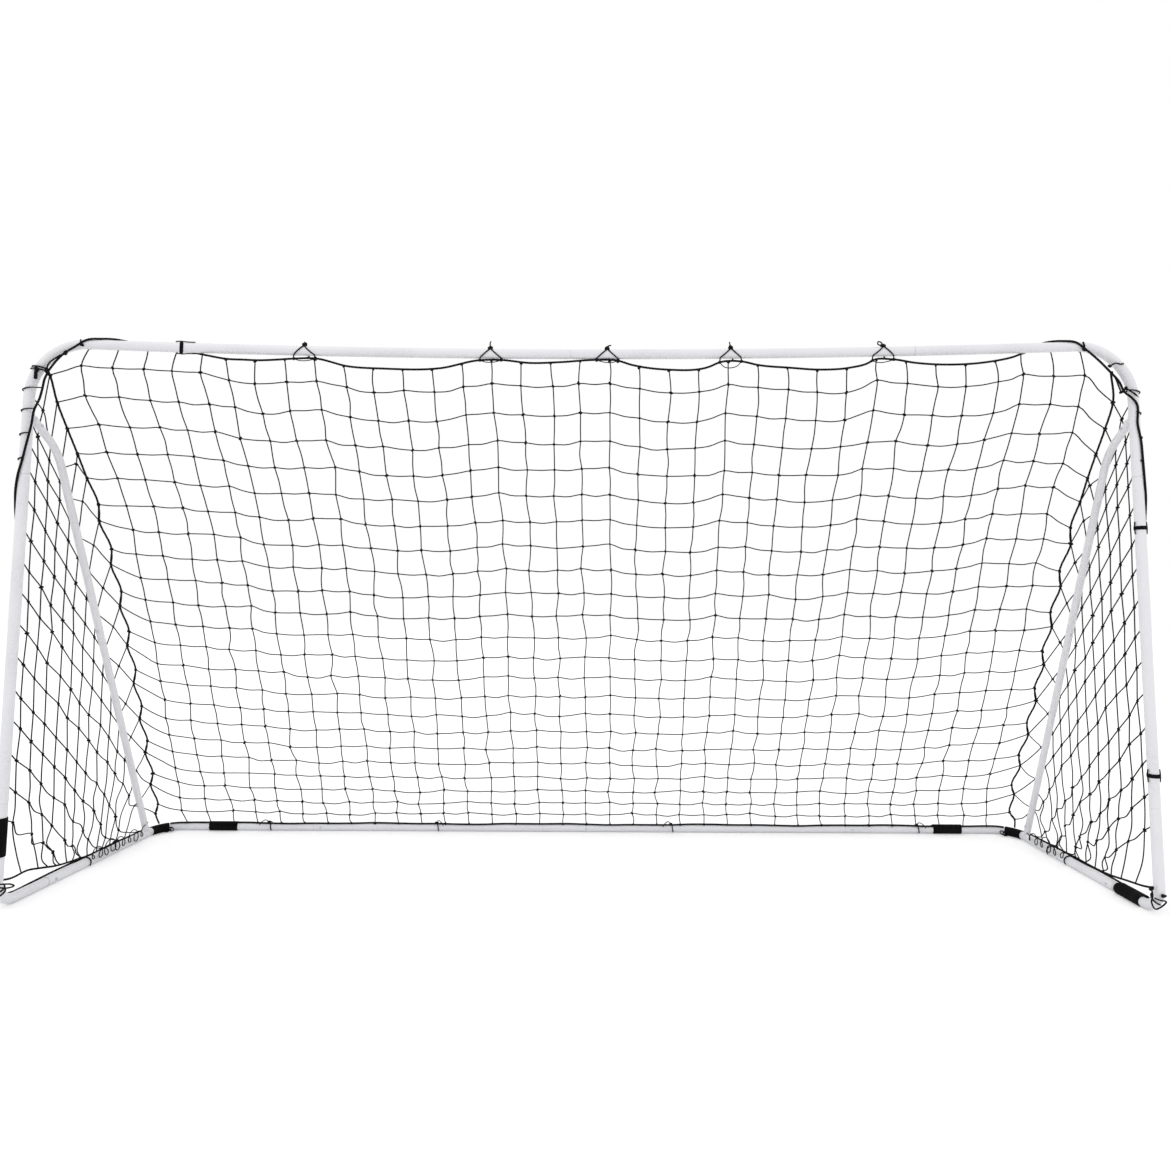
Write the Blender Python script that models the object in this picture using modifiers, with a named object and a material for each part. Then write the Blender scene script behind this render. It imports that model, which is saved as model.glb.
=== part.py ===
"""Portable soccer goal: a swaged steel tube frame with snap-button joints and a knotted net.

The goal stands on the ground plane. +X runs along the crossbar, -Y faces the field and
+Z is up. The origin is under the middle of the frame.
"""
import math

import bmesh
import bpy
from mathutils import Matrix, Vector

# Overall size, outside the tubes
GOAL_WIDTH = 3.66
GOAL_HEIGHT = 1.83
GOAL_DEPTH = 0.915

# Frame tubes
TUBE_RADIUS = 0.016
TUBE_WALL = 0.0015
TOP_BEND_RADIUS = 0.18
FOOT_BEND_RADIUS = 0.075
REAR_BEND_RADIUS = 0.10
CROSSBAR_DROOP = 0.03
BAR_SPAN = 0.55
TUBE_SIDES = 12
BEND_STEPS = 5

# Braces
BRACE_RADIUS = 0.0125
BRACE_WALL = 0.0012
BRACE_BEND_RADIUS = 0.20
BRACE_LEAN = math.radians(23.3)
BRACE_FOOT_SETBACK = 0.008
STUB_BELOW_BEND = 0.049
STUB_SLOPE = math.radians(35.0)
STUB_SLOT = 0.02

# Swaged joints, where the narrowed end of one tube slides into the next
FIT = 0.0003
INSERT_LENGTH = 0.07
SWAGE_LENGTH = 0.006
BUTTON_SETBACK = 0.03
BAR_BUTTON_X = 1.13
POST_SEAM_BELOW_BEND = 0.254
POST_FOOT_SEAM = 0.33
SIDE_SEAM = 0.21
BRACE_SEAM = 0.89

# Snap buttons, each in one piece with its leaf spring
BUTTON_RADIUS = 0.004
BUTTON_PROUD = 0.004
BUTTON_CROWN = 0.0012
BUTTON_SIDES = 8
LEAF_WIDTH = 0.008
LEAF_THICKNESS = 0.0008
LEAF_NOSE = 0.006
LEAF_TAIL = 0.036

# Ropes, ties and bands
ROPE_RADIUS = 0.0035
TIE_RADIUS = 0.002
ROPE_SIDES = 6
BAND_THICKNESS = 0.0018
HUG_STEP = math.radians(20.0)
WRAP_LENGTH = 0.12
STRAP_WIDTH = 0.012
SIDE_ROPE_LIFT = math.radians(40.0)
REAR_ROPE_LIFT = math.radians(120.0)
ROPE_CROSSING_BELOW_BEND = 0.014
ROPE_CROSSING_DROP = 0.29
ROPE_CROSSING_STEP = math.radians(30.0)
ROPE_SETTLE = 0.05
TOP_ROPE_SAGS = (0.004, 0.008, 0.032, 0.012, 0.034, 0.03, 0.022)
ROPE_HOLD = 0.01
TOP_ROPE_END = math.radians(38.0)
CORNER_KNOT_GAP = math.radians(4.0)
STRAP_X = -1.32
TIE_X = (-0.909, -0.295, 0.089, 0.495, 0.996)
TIE_SPREAD = 0.033
TIE_STEPS = 6
TIE_FOOT = math.radians(238.0)
TIE_PEAK = math.radians(75.0)
POST_STRAP_Z = (1.213, 0.43)
POST_WRAP_Z = 0.225
SIDE_WRAP_Y = 0.138
REAR_WRAP_X = (-1.544, 1.531)
CORNER_WRAP_STEPS = (0.5, 1, 2, 3)
ROPE_FROM_WRAP = 0.1
BAND_SLIT = math.radians(1.5)
GROUND_SLIT = math.radians(35.0)
REAR_TIE_X = (-1.351, -0.638, 0.357, 1.40)
LEFT_SIDE_TIE_Y = (0.406,)
RIGHT_SIDE_TIE_Y = (0.472, 0.588)
GROUND_TIE_SLIT = math.radians(46.0)
GROUND_TIE_STEP = math.radians(25.0)

# Nets
STRAND = 0.003
BACK_COLUMNS = 16
BACK_ROWS = 10
ROW_CROWDING = 0.125
TOP_ROW_REACH = 4
NET_BULGE = 0.03
SEAM_BULGE = 0.07
SEAM_INSET_TOP = 0.05
SEAM_SWELL_LEFT = 0.42
SEAM_SWELL_RIGHT = 0.08
SIDE_COLUMNS = 8
SIDE_SLOPE = math.radians(50.0)
SIDE_NET_BELOW_BEND = 0.034
FOLD_BEHIND = 0.018
SHORT_STRAND = 0.02
FOOT_TRIMS = (math.radians(30.0), math.radians(60.0))

# Mesh finish
WELD = 0.00001
SHARP_ANGLE = math.radians(40.0)

# Colours and finishes
WHITE_COAT = ((0.86, 0.87, 0.88), 0.32, 0.0)
BLACK_ROPE = ((0.012, 0.012, 0.013), 0.85, 0.0)
BLACK_STRAND = ((0.015, 0.015, 0.016), 0.8, 0.0)
BLACK_FABRIC = ((0.01, 0.01, 0.011), 0.9, 0.0)
STEEL_BUTTON = ((0.55, 0.56, 0.58), 0.3, 1.0)

# Places that follow from the sizes above
FLAT = math.cos(math.pi / TUBE_SIDES)
TUBE_CORNER = TUBE_RADIUS / FLAT
SIDE_X = GOAL_WIDTH / 2 - TUBE_RADIUS
FRONT_Y = -GOAL_DEPTH / 2 + TUBE_RADIUS
REAR_Y = GOAL_DEPTH / 2 - TUBE_RADIUS
TOP_Z = GOAL_HEIGHT - TUBE_RADIUS
GROUND_Z = TUBE_RADIUS
BEND_X = SIDE_X - TOP_BEND_RADIUS
BEND_Z = TOP_Z - TOP_BEND_RADIUS
STUB_HEIGHT = BEND_Z - STUB_BELOW_BEND
POST_TOP_SEAM = BEND_Z - POST_SEAM_BELOW_BEND
ROPE_CROSSING_TOP = BEND_Z - ROPE_CROSSING_BELOW_BEND
ROPE_CROSSING_FOOT = ROPE_CROSSING_TOP - ROPE_CROSSING_DROP
SIDE_NET_TOP = BEND_Z - SIDE_NET_BELOW_BEND
CORNER_X = SIDE_X - REAR_BEND_RADIUS
CORNER_Y = REAR_Y - REAR_BEND_RADIUS
INSERT_RADIUS = TUBE_RADIUS - TUBE_WALL - FIT
BRACE_INSERT_RADIUS = BRACE_RADIUS - BRACE_WALL - FIT
BRACE_FOOT_Y = CORNER_Y - BRACE_FOOT_SETBACK
ROPE_OFFSET = TUBE_CORNER + ROPE_RADIUS + FIT
NET_CLEAR = ROPE_RADIUS + BAND_THICKNESS + STRAND / 2 + 2 * FIT
SEAM_CLEAR = ROPE_RADIUS + STRAND / 2 + FIT
BAND_REACH = (TUBE_CORNER + FIT) / math.cos(HUG_STEP / 2)
WRAP_TOP = GROUND_Z + BAND_REACH + BAND_THICKNESS

X_AXIS = Vector((1, 0, 0))
Y_AXIS = Vector((0, 1, 0))
Z_AXIS = Vector((0, 0, 1))


def clear_scene():
    """Removes every object, so that the script starts from nothing."""
    for item in list(bpy.data.objects):
        bpy.data.objects.remove(item, do_unlink=True)


def new_collection(name):
    found = bpy.data.collections.new(name)
    bpy.context.scene.collection.children.link(found)
    return found


def new_material(name, finish):
    colour, roughness, metallic = finish
    material = bpy.data.materials.new(name)
    material.use_nodes = True
    shader = material.node_tree.nodes["Principled BSDF"]
    shader.inputs["Base Color"].default_value = (*colour, 1.0)
    shader.inputs["Roughness"].default_value = roughness
    shader.inputs["Metallic"].default_value = metallic
    material.diffuse_color = (*colour, 1.0)
    return material


def add_mesh(name, mesh, collection, finish):
    item = bpy.data.objects.new(name, mesh)
    collection.objects.link(item)
    mesh.materials.clear()
    mesh.materials.append(new_material(name, finish))
    return item


def curve_data(name, runs, radius, sides, caps):
    """A curve of straight runs, each a list of (point, radius factor), with flats on its axes."""
    data = bpy.data.curves.new(name, "CURVE")
    data.dimensions = "3D"
    data.bevel_depth = radius
    data.bevel_resolution = (sides - 4) // 2
    data.use_fill_caps = caps
    for run in runs:
        spline = data.splines.new("POLY")
        spline.points.add(len(run) - 1)
        for place, (point, factor) in zip(spline.points, run):
            place.co = (*point, 1.0)
            place.radius = factor
            place.tilt = math.pi / sides
    return data


def cord(name, points, radius, collection, finish):
    """A rope or tie: one capped round cord along a list of points."""
    data = curve_data(name, [[(point, 1.0) for point in points]], radius, ROPE_SIDES, True)
    data.materials.append(new_material(name, finish))
    item = bpy.data.objects.new(name, data)
    collection.objects.link(item)
    return item


def mesh_of_curve(name, run, radius, sides, caps):
    """The evaluated mesh of a bevelled curve, with its caps welded on."""
    data = curve_data(name, [run], radius, sides, caps)
    guide = bpy.data.objects.new(name + "_guide", data)
    bpy.context.scene.collection.objects.link(guide)
    evaluated = guide.evaluated_get(bpy.context.evaluated_depsgraph_get())
    mesh = bpy.data.meshes.new_from_object(evaluated)
    bpy.data.objects.remove(guide, do_unlink=True)
    built = bmesh.new()
    built.from_mesh(mesh)
    bmesh.ops.remove_doubles(built, verts=built.verts, dist=WELD)
    bmesh.ops.recalc_face_normals(built, faces=built.faces)
    finish_mesh(built, mesh)
    return mesh


def finish_mesh(built, mesh):
    """Writes a bmesh to its mesh and shades it smooth with crisp edges."""
    built.to_mesh(mesh)
    built.free()
    mesh.shade_smooth()
    mesh.set_sharp_from_angle(angle=SHARP_ANGLE)


def tube(name, path, radius, wall, collection):
    """A hollow tube along a path of (point, radius) pairs; radii are to the flats."""
    run = [(point, size / radius) for point, size in path]
    mesh = mesh_of_curve(name, run, radius / FLAT, TUBE_SIDES, False)
    item = add_mesh(name, mesh, collection, WHITE_COAT)
    shell = item.modifiers.new("wall", "SOLIDIFY")
    shell.thickness = wall / FLAT
    shell.offset = -1.0
    return item


def subtract(item, cutter):
    cut = item.modifiers.new("cut_" + cutter.name, "BOOLEAN")
    cut.operation = "DIFFERENCE"
    cut.solver = "EXACT"
    cut.object = cutter


def unite(item, addition):
    join = item.modifiers.new("join_" + addition.name, "BOOLEAN")
    join.operation = "UNION"
    join.solver = "EXACT"
    join.object = addition


def as_guide(item):
    """Marks an object that only cuts or joins another one."""
    item.hide_render = True
    item.display_type = "WIRE"
    return item


def arc(centre, start, end, radius, first, last, steps):
    """Points of an arc from angle first to last, where start is at 0 and end at 90 degrees."""
    points = []
    for step in range(steps + 1):
        angle = first + (last - first) * step / steps
        points.append(centre + start * (radius * math.cos(angle)) + end * (radius * math.sin(angle)))
    return points


def bar_seams():
    """Where the pieces of the crossbar and of the rear bar meet, left of their buttons."""
    return [x - BUTTON_SETBACK for x in (-BAR_BUTTON_X, 0.0, BAR_BUTTON_X)]


def bar_stations():
    """Places along the crossbar where its centre line bends a little, from left to right."""
    stops = [-BEND_X]
    for seam in bar_seams():
        stops += [seam, seam + INSERT_LENGTH]
    stops.append(BEND_X)
    found = []
    for left, right in zip(stops, stops[1:]):
        spans = math.ceil((right - left) / BAR_SPAN)
        found += [left + (right - left) * step / spans for step in range(spans)]
    return found + [BEND_X]


def corner_point(side, place, reach, height):
    """A point beside a rear corner's bend, at a place counted in the bend's straight spans."""
    centre = Vector((side * CORNER_X, CORNER_Y, height))
    bend = arc(centre, X_AXIS * side, Y_AXIS, reach, 0.0, math.pi / 2, BEND_STEPS)
    span = min(int(place), BEND_STEPS - 1)
    return bend[span].lerp(bend[span + 1], place - span)


def bar_height(x):
    """Height of the crossbar's centre line, which droops in straight spans between its bends."""
    stations = bar_stations()
    heights = [TOP_Z - CROSSBAR_DROOP * (1.0 - (station / BEND_X) ** 2) for station in stations]
    spans = zip(zip(stations, heights), zip(stations[1:], heights[1:]))
    for (left, low), (right, high) in spans:
        if left <= x <= right:
            return low + (high - low) * (x - left) / (right - left)
    return TOP_Z


def bar_point(x):
    return Vector((x, FRONT_Y, bar_height(x)))


def rear_point(x):
    return Vector((x, REAR_Y, GROUND_Z))


def side_point(side, along):
    """A point on the side bar's centre line, at a distance behind the post."""
    return Vector((side * SIDE_X, FRONT_Y + along, GROUND_Z))


def post_point(side, height):
    return Vector((side * SIDE_X, FRONT_Y, height))


def brace_foot(side):
    return Vector((side * SIDE_X, BRACE_FOOT_Y, GROUND_Z))


def brace_up():
    """Direction of the brace's straight run, up and forwards."""
    return Vector((0, -math.sin(BRACE_LEAN), math.cos(BRACE_LEAN)))


def stub_out():
    """Direction of the short tube behind the post, back and downwards."""
    return Vector((0, math.cos(STUB_SLOPE), -math.sin(STUB_SLOPE)))


def brace_face():
    """Normal of the brace's straight run that faces the field."""
    return Vector((0, -math.cos(BRACE_LEAN), -math.sin(BRACE_LEAN)))


def brace_corner():
    """Distances from the post and from the foot to where the brace's two lines cross."""
    out, up = stub_out(), brace_up()
    gap_y = BRACE_FOOT_Y - FRONT_Y
    gap_z = GROUND_Z - STUB_HEIGHT
    across = out.y * up.z - out.z * up.y
    from_post = (gap_y * up.z - gap_z * up.y) / across
    from_foot = (gap_y * out.z - gap_z * out.y) / across
    return from_post, from_foot


def stub_start():
    """Distance from the post's centre line at which the brace's end clears the post."""
    clear = TUBE_RADIUS + FIT + BRACE_RADIUS * math.sin(STUB_SLOPE)
    return clear / math.cos(STUB_SLOPE)


def foot_start():
    """Distance from the side bar's centre line at which the brace's end clears the bar."""
    clear = TUBE_RADIUS + FIT + BRACE_RADIUS * math.sin(BRACE_LEAN)
    return clear / math.cos(BRACE_LEAN)


def male_end(seam, towards, radius, insert_radius):
    """Path of a narrowed end: the shoulder before the seam, then the insert past it."""
    return [
        (seam - towards * SWAGE_LENGTH, radius),
        (seam + towards * FIT, insert_radius),
        (seam + towards * INSERT_LENGTH, insert_radius),
    ]


def straight(points, radius):
    return [(point, radius) for point in points]


def bar_stretch(start, end):
    """The crossbar's centre line between two places, without its ends."""
    return [bar_point(x) for x in bar_stations() if start < x < end]


def bar_male(seam_x, point_at):
    """Narrowed right end of a bar piece, which slides into the next piece on its right."""
    return [
        (point_at(seam_x - SWAGE_LENGTH), TUBE_RADIUS),
        (point_at(seam_x + FIT), INSERT_RADIUS),
        (point_at(seam_x + INSERT_LENGTH), INSERT_RADIUS),
    ]


def bar_middle(name, left_seam, right_seam, point_at, stretch, collection):
    """A middle bar piece: plain at its left end, narrowed at its right end."""
    path = [(point_at(left_seam + FIT), TUBE_RADIUS)]
    path += straight(stretch, TUBE_RADIUS)
    path += bar_male(right_seam, point_at)
    return tube(name, path, TUBE_RADIUS, TUBE_WALL, collection)


def solid_rod(name, start, end, radius, cutters):
    """A closed round bar that cuts or joins; its radius is to the flats."""
    run = [(start, 1.0), (end, 1.0)]
    mesh = mesh_of_curve(name, run, radius / FLAT, TUBE_SIDES, True)
    return as_guide(add_mesh(name, mesh, cutters, WHITE_COAT))


def weld_stub(item, base, direction, length, along, cutters):
    """Welds a short spigot to a tube, bored from its far end, for a brace to slide over."""
    name = item.name
    start = base + direction * (TUBE_RADIUS - TUBE_WALL)
    tip = base + direction * length
    stub = solid_rod(name + "_stub", base, tip, BRACE_INSERT_RADIUS, cutters)
    reach = base + direction * (length + STUB_SLOT)
    bore_radius = BRACE_INSERT_RADIUS - BRACE_WALL
    bore = solid_rod(name + "_bore", start + direction * STUB_SLOT, reach, bore_radius, cutters)
    reamer = along * (TUBE_RADIUS * 2)
    core_radius = TUBE_RADIUS - TUBE_WALL / 2
    core = solid_rod(name + "_core", base - reamer, base + reamer, core_radius, cutters)
    subtract(stub, bore)
    subtract(stub, core)
    unite(item, stub)


def top_corner(side, name, parts, cutters):
    """Upper post end, rounded corner and outer part of the crossbar, with the brace's stub."""
    seams = bar_seams()
    centre = Vector((side * BEND_X, FRONT_Y, BEND_Z))
    bend = arc(centre, X_AXIS * side, Z_AXIS, TOP_BEND_RADIUS, 0.0, math.pi / 2, BEND_STEPS)
    path = [(post_point(side, POST_TOP_SEAM + FIT), TUBE_RADIUS)]
    path += straight(bend, TUBE_RADIUS)
    if side < 0:
        stretch = bar_stretch(-BEND_X, seams[0] - SWAGE_LENGTH)
        path += straight(stretch, TUBE_RADIUS)
        path += bar_male(seams[0], bar_point)
    else:
        stretch = bar_stretch(seams[2] + FIT, BEND_X)
        path += straight(stretch[::-1], TUBE_RADIUS)
        path += [(bar_point(seams[2] + FIT), TUBE_RADIUS)]
    item = tube(name, path, TUBE_RADIUS, TUBE_WALL, parts)
    base = post_point(side, STUB_HEIGHT)
    weld_stub(item, base, stub_out(), stub_start() + INSERT_LENGTH, Z_AXIS, cutters)
    return item


def rear_corner(side, name, parts, cutters):
    """Side bar, rear corner and outer part of the rear bar, with the stub under the brace."""
    seams = bar_seams()
    centre = Vector((side * CORNER_X, CORNER_Y, GROUND_Z))
    bend = arc(centre, X_AXIS * side, Y_AXIS, REAR_BEND_RADIUS, 0.0, math.pi / 2, BEND_STEPS)
    path = [(side_point(side, SIDE_SEAM + FIT), TUBE_RADIUS)]
    path += straight(bend, TUBE_RADIUS)
    if side < 0:
        path += bar_male(seams[0], rear_point)
    else:
        path += [(rear_point(seams[2] + FIT), TUBE_RADIUS)]
    item = tube(name, path, TUBE_RADIUS, TUBE_WALL, parts)
    weld_stub(item, brace_foot(side), brace_up(), foot_start() + INSERT_LENGTH, Y_AXIS, cutters)
    return item


def post(side, name, parts):
    """Straight post tube: narrowed at its top, plain at its foot."""
    path = [(post_point(side, POST_FOOT_SEAM + FIT), TUBE_RADIUS)]
    path += male_end(post_point(side, POST_TOP_SEAM), Z_AXIS, TUBE_RADIUS, INSERT_RADIUS)
    return tube(name, path, TUBE_RADIUS, TUBE_WALL, parts)


def foot_bend(side, name, parts):
    """Lower post end, front foot bend and front part of the side bar, narrowed at both ends."""
    centre = Vector((side * SIDE_X, FRONT_Y + FOOT_BEND_RADIUS, GROUND_Z + FOOT_BEND_RADIUS))
    bend = arc(centre, -Y_AXIS, -Z_AXIS, FOOT_BEND_RADIUS, 0.0, math.pi / 2, BEND_STEPS)
    upper = male_end(post_point(side, POST_FOOT_SEAM), Z_AXIS, TUBE_RADIUS, INSERT_RADIUS)
    rearward = male_end(side_point(side, SIDE_SEAM), Y_AXIS, TUBE_RADIUS, INSERT_RADIUS)
    path = upper[::-1] + straight(bend, TUBE_RADIUS) + rearward
    return tube(name, path, TUBE_RADIUS, TUBE_WALL, parts)


def brace_path_point(side, from_foot):
    return brace_foot(side) + brace_up() * from_foot


def upper_brace(side, name, parts):
    """Curved upper brace: plain at the post, plain at the seam, where the lower brace enters."""
    from_post, from_foot = brace_corner()
    turn = math.pi / 2 - BRACE_LEAN - STUB_SLOPE
    tangent = BRACE_BEND_RADIUS * math.tan(turn / 2)
    base = post_point(side, STUB_HEIGHT)
    bend_start = base + stub_out() * (from_post - tangent)
    inward = Vector((0, -math.sin(STUB_SLOPE), -math.cos(STUB_SLOPE)))
    centre = bend_start + inward * BRACE_BEND_RADIUS
    bend = arc(centre, -inward, stub_out(), BRACE_BEND_RADIUS, 0.0, turn, BEND_STEPS)
    path = [(base + stub_out() * stub_start(), BRACE_RADIUS)]
    path += straight(bend, BRACE_RADIUS)
    path += [(brace_path_point(side, BRACE_SEAM + FIT), BRACE_RADIUS)]
    return tube(name, path, BRACE_RADIUS, BRACE_WALL, parts)


def lower_brace(side, name, parts):
    """Straight lower brace: plain over the foot stub, narrowed where it enters the upper brace."""
    end = male_end(brace_path_point(side, BRACE_SEAM), brace_up(), BRACE_RADIUS, BRACE_INSERT_RADIUS)
    path = end[::-1] + [(brace_path_point(side, foot_start()), BRACE_RADIUS)]
    return tube(name, path, BRACE_RADIUS, BRACE_WALL, parts)


class Joint:
    """One snap-button joint: where it is, which way the inner tube enters and the button looks."""

    def __init__(self, name, place, entry, normal, radius, wall):
        self.name = name
        self.place = place
        self.entry = entry.normalized()
        self.normal = normal.normalized()
        self.radius = radius
        self.wall = wall

    def matrix(self):
        """Turns +X to the inner tube's entry and +Z to the button's outward normal."""
        turn = Matrix((self.entry, self.normal.cross(self.entry), self.normal)).transposed()
        return Matrix.Translation(self.place) @ turn.to_4x4()

    def head_top(self):
        return self.radius + BUTTON_PROUD

    def leaf_top(self):
        """Height at which the leaf's edges lie against the inner tube's bore."""
        bore = self.radius - 2 * self.wall - FIT
        return math.sqrt(bore ** 2 - (LEAF_WIDTH / 2) ** 2) - FIT


def joints():
    """Every snap-button joint of the frame."""
    found = []
    for seam, label in zip(bar_seams(), ("left", "centre", "right")):
        x = seam + BUTTON_SETBACK
        found += [
            Joint(f"crossbar_{label}", bar_point(x), X_AXIS, Y_AXIS, TUBE_RADIUS, TUBE_WALL),
            Joint(f"rear_{label}", rear_point(x), X_AXIS, -Y_AXIS, TUBE_RADIUS, TUBE_WALL),
        ]
    for side, label in ((-1, "left"), (1, "right")):
        inward = X_AXIS * -side
        top = post_point(side, POST_TOP_SEAM + BUTTON_SETBACK)
        foot = post_point(side, POST_FOOT_SEAM + BUTTON_SETBACK)
        ground = side_point(side, SIDE_SEAM + BUTTON_SETBACK)
        stub = post_point(side, STUB_HEIGHT) + stub_out() * (stub_start() + BUTTON_SETBACK)
        middle = brace_path_point(side, BRACE_SEAM + BUTTON_SETBACK)
        base = brace_path_point(side, foot_start() + BUTTON_SETBACK)
        found += [
            Joint(f"post_top_{label}", top, Z_AXIS, Y_AXIS, TUBE_RADIUS, TUBE_WALL),
            Joint(f"post_foot_{label}", foot, Z_AXIS, Y_AXIS, TUBE_RADIUS, TUBE_WALL),
            Joint(f"side_{label}", ground, Y_AXIS, inward, TUBE_RADIUS, TUBE_WALL),
            Joint(f"brace_top_{label}", stub, stub_out(), inward, BRACE_RADIUS, BRACE_WALL),
            Joint(f"brace_middle_{label}", middle, brace_up(), brace_face(), BRACE_RADIUS, BRACE_WALL),
            Joint(f"brace_foot_{label}", base, brace_up(), inward, BRACE_RADIUS, BRACE_WALL),
        ]
    return found


def turned(name, profile):
    """A turned solid from a profile of (radius, height) that runs down its outer side."""
    mesh = bpy.data.meshes.new(name)
    built = bmesh.new()
    ring = [built.verts.new((radius, 0.0, height)) for radius, height in profile]
    edges = [built.edges.new(pair) for pair in zip(ring, ring[1:])]
    bmesh.ops.spin(
        built, geom=ring + edges, axis=Z_AXIS, cent=(0, 0, 0), angle=math.tau, steps=BUTTON_SIDES
    )
    bmesh.ops.remove_doubles(built, verts=built.verts, dist=WELD)
    bmesh.ops.recalc_face_normals(built, faces=built.faces)
    finish_mesh(built, mesh)
    return mesh


def leaf(joint, cutters):
    """The button's leaf spring: a flat strip that reaches towards the inner tube's tip."""
    mesh = bpy.data.meshes.new(f"leaf_{joint.name}")
    built = bmesh.new()
    bmesh.ops.create_cube(built, size=1.0)
    length = LEAF_NOSE + LEAF_TAIL
    bmesh.ops.scale(built, verts=built.verts, vec=(length, LEAF_WIDTH, LEAF_THICKNESS))
    middle = Vector((length / 2 - LEAF_NOSE, 0.0, joint.leaf_top() - LEAF_THICKNESS / 2))
    bmesh.ops.translate(built, verts=built.verts, vec=middle)
    built.to_mesh(mesh)
    built.free()
    item = add_mesh(mesh.name, mesh, cutters, STEEL_BUTTON)
    item.matrix_world = joint.matrix()
    return as_guide(item)


def snap_button(joint, parts, cutters):
    """A snap button with its leaf: the stem passes both walls and the crowned head stands proud."""
    top = joint.head_top()
    root = joint.leaf_top() - LEAF_THICKNESS / 2
    profile = [
        (0.0, top),
        (BUTTON_RADIUS - BUTTON_CROWN, top),
        (BUTTON_RADIUS, top - BUTTON_CROWN),
        (BUTTON_RADIUS, root),
        (0.0, root),
    ]
    name = f"snap_button_{joint.name}"
    item = add_mesh(name, turned(name, profile), parts, STEEL_BUTTON)
    item.matrix_world = joint.matrix()
    unite(item, leaf(joint, cutters))
    return item


def button_hole(joint, cutters):
    """The hole for one button, through both walls on the button's side only."""
    reach = BUTTON_RADIUS + FIT
    top = joint.head_top()
    root = joint.leaf_top() / 2
    name = f"hole_{joint.name}"
    mesh = turned(name, [(0.0, top), (reach, top), (reach, root), (0.0, root)])
    item = add_mesh(name, mesh, cutters, STEEL_BUTTON)
    item.matrix_world = joint.matrix()
    return as_guide(item)


def frame_tubes(parts, cutters):
    """All tubes of the frame, by name."""
    seams = bar_seams()
    made = {}
    for side, label in ((-1, "left"), (1, "right")):
        made[f"top_corner_{label}"] = top_corner(side, f"top_corner_{label}", parts, cutters)
        made[f"rear_corner_{label}"] = rear_corner(side, f"rear_corner_{label}", parts, cutters)
        made[f"post_{label}"] = post(side, f"post_{label}", parts)
        made[f"foot_bend_{label}"] = foot_bend(side, f"foot_bend_{label}", parts)
        made[f"brace_upper_{label}"] = upper_brace(side, f"brace_upper_{label}", parts)
        made[f"brace_lower_{label}"] = lower_brace(side, f"brace_lower_{label}", parts)
    for label, start, end in (("left", seams[0], seams[1]), ("right", seams[1], seams[2])):
        stretch = bar_stretch(start + FIT, end - SWAGE_LENGTH)
        upper = bar_middle(f"crossbar_{label}", start, end, bar_point, stretch, parts)
        lower = bar_middle(f"rear_bar_{label}", start, end, rear_point, [], parts)
        made[upper.name] = upper
        made[lower.name] = lower
    return made


def pieces_at(joint_name):
    """Names of the two tubes that a joint's button passes through."""
    kind, label = joint_name.rsplit("_", 1)
    if kind in ("crossbar", "rear"):
        bar = "crossbar" if kind == "crossbar" else "rear_bar"
        corner = "top_corner" if kind == "crossbar" else "rear_corner"
        if label == "centre":
            return f"{bar}_left", f"{bar}_right"
        return f"{corner}_{label}", f"{bar}_{label}"
    through = {
        "post_top": ("top_corner", "post"),
        "post_foot": ("post", "foot_bend"),
        "side": ("rear_corner", "foot_bend"),
        "brace_top": ("top_corner", "brace_upper"),
        "brace_middle": ("brace_upper", "brace_lower"),
        "brace_foot": ("rear_corner", "brace_lower"),
    }
    return tuple(f"{piece}_{label}" for piece in through[kind])


def hugging(first, last, step, growth, rope_growth, rope_angle):
    """Points round a tube and the rope on it, grown outwards, as (across, up) pairs.

    Each direction keeps whichever of the two circles reaches further that way.
    """
    stops = []
    count = math.ceil((last - first) / step)
    turn = math.acos((TUBE_CORNER - ROPE_RADIUS) / ROPE_OFFSET)
    for place in range(count + 1):
        angle = first + (last - first) * place / count
        apart = abs(math.remainder(angle - rope_angle, math.tau)) if rope_angle is not None else math.pi
        stops.append((angle, apart < turn))
    if rope_angle is not None:
        middle = first + (rope_angle - first) % math.tau
        low, high = middle - turn, middle + turn
        stops += [(low, False), (low + WELD, True), (high - WELD, True), (high, False)]
    points = []
    for angle, on_rope in sorted(stops):
        reach = ROPE_RADIUS + rope_growth if on_rope else TUBE_CORNER + growth
        across, up = reach * math.cos(angle), reach * math.sin(angle)
        if on_rope:
            across += ROPE_OFFSET * math.cos(rope_angle)
            up += ROPE_OFFSET * math.sin(rope_angle)
        points.append((across, up))
    return points


def band(name, stations, first, last, rope_angle, parts):
    """A fabric band round a tube and its rope, open along a slit, through a list of frames."""
    gap = BAND_REACH - TUBE_CORNER
    outer = hugging(first, last, HUG_STEP, gap + BAND_THICKNESS, FIT + BAND_THICKNESS, rope_angle)
    inner = hugging(first, last, HUG_STEP, gap, FIT, rope_angle)
    loop = outer + inner[::-1]
    size = len(outer)
    mesh = bpy.data.meshes.new(name)
    built = bmesh.new()
    rings = []
    for origin, across, up in stations:
        rings.append([built.verts.new(origin + across * a + up * b) for a, b in loop])
    for one, two in zip(rings, rings[1:]):
        for place in range(len(loop)):
            after = (place + 1) % len(loop)
            built.faces.new((one[place], one[after], two[after], two[place]))
    for ring in (rings[0], rings[-1]):
        for place in range(size - 1):
            far = len(loop) - 1 - place
            built.faces.new((ring[place], ring[place + 1], ring[far - 1], ring[far]))
    bmesh.ops.recalc_face_normals(built, faces=built.faces)
    finish_mesh(built, mesh)
    return add_mesh(name, mesh, parts, BLACK_FABRIC)


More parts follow.
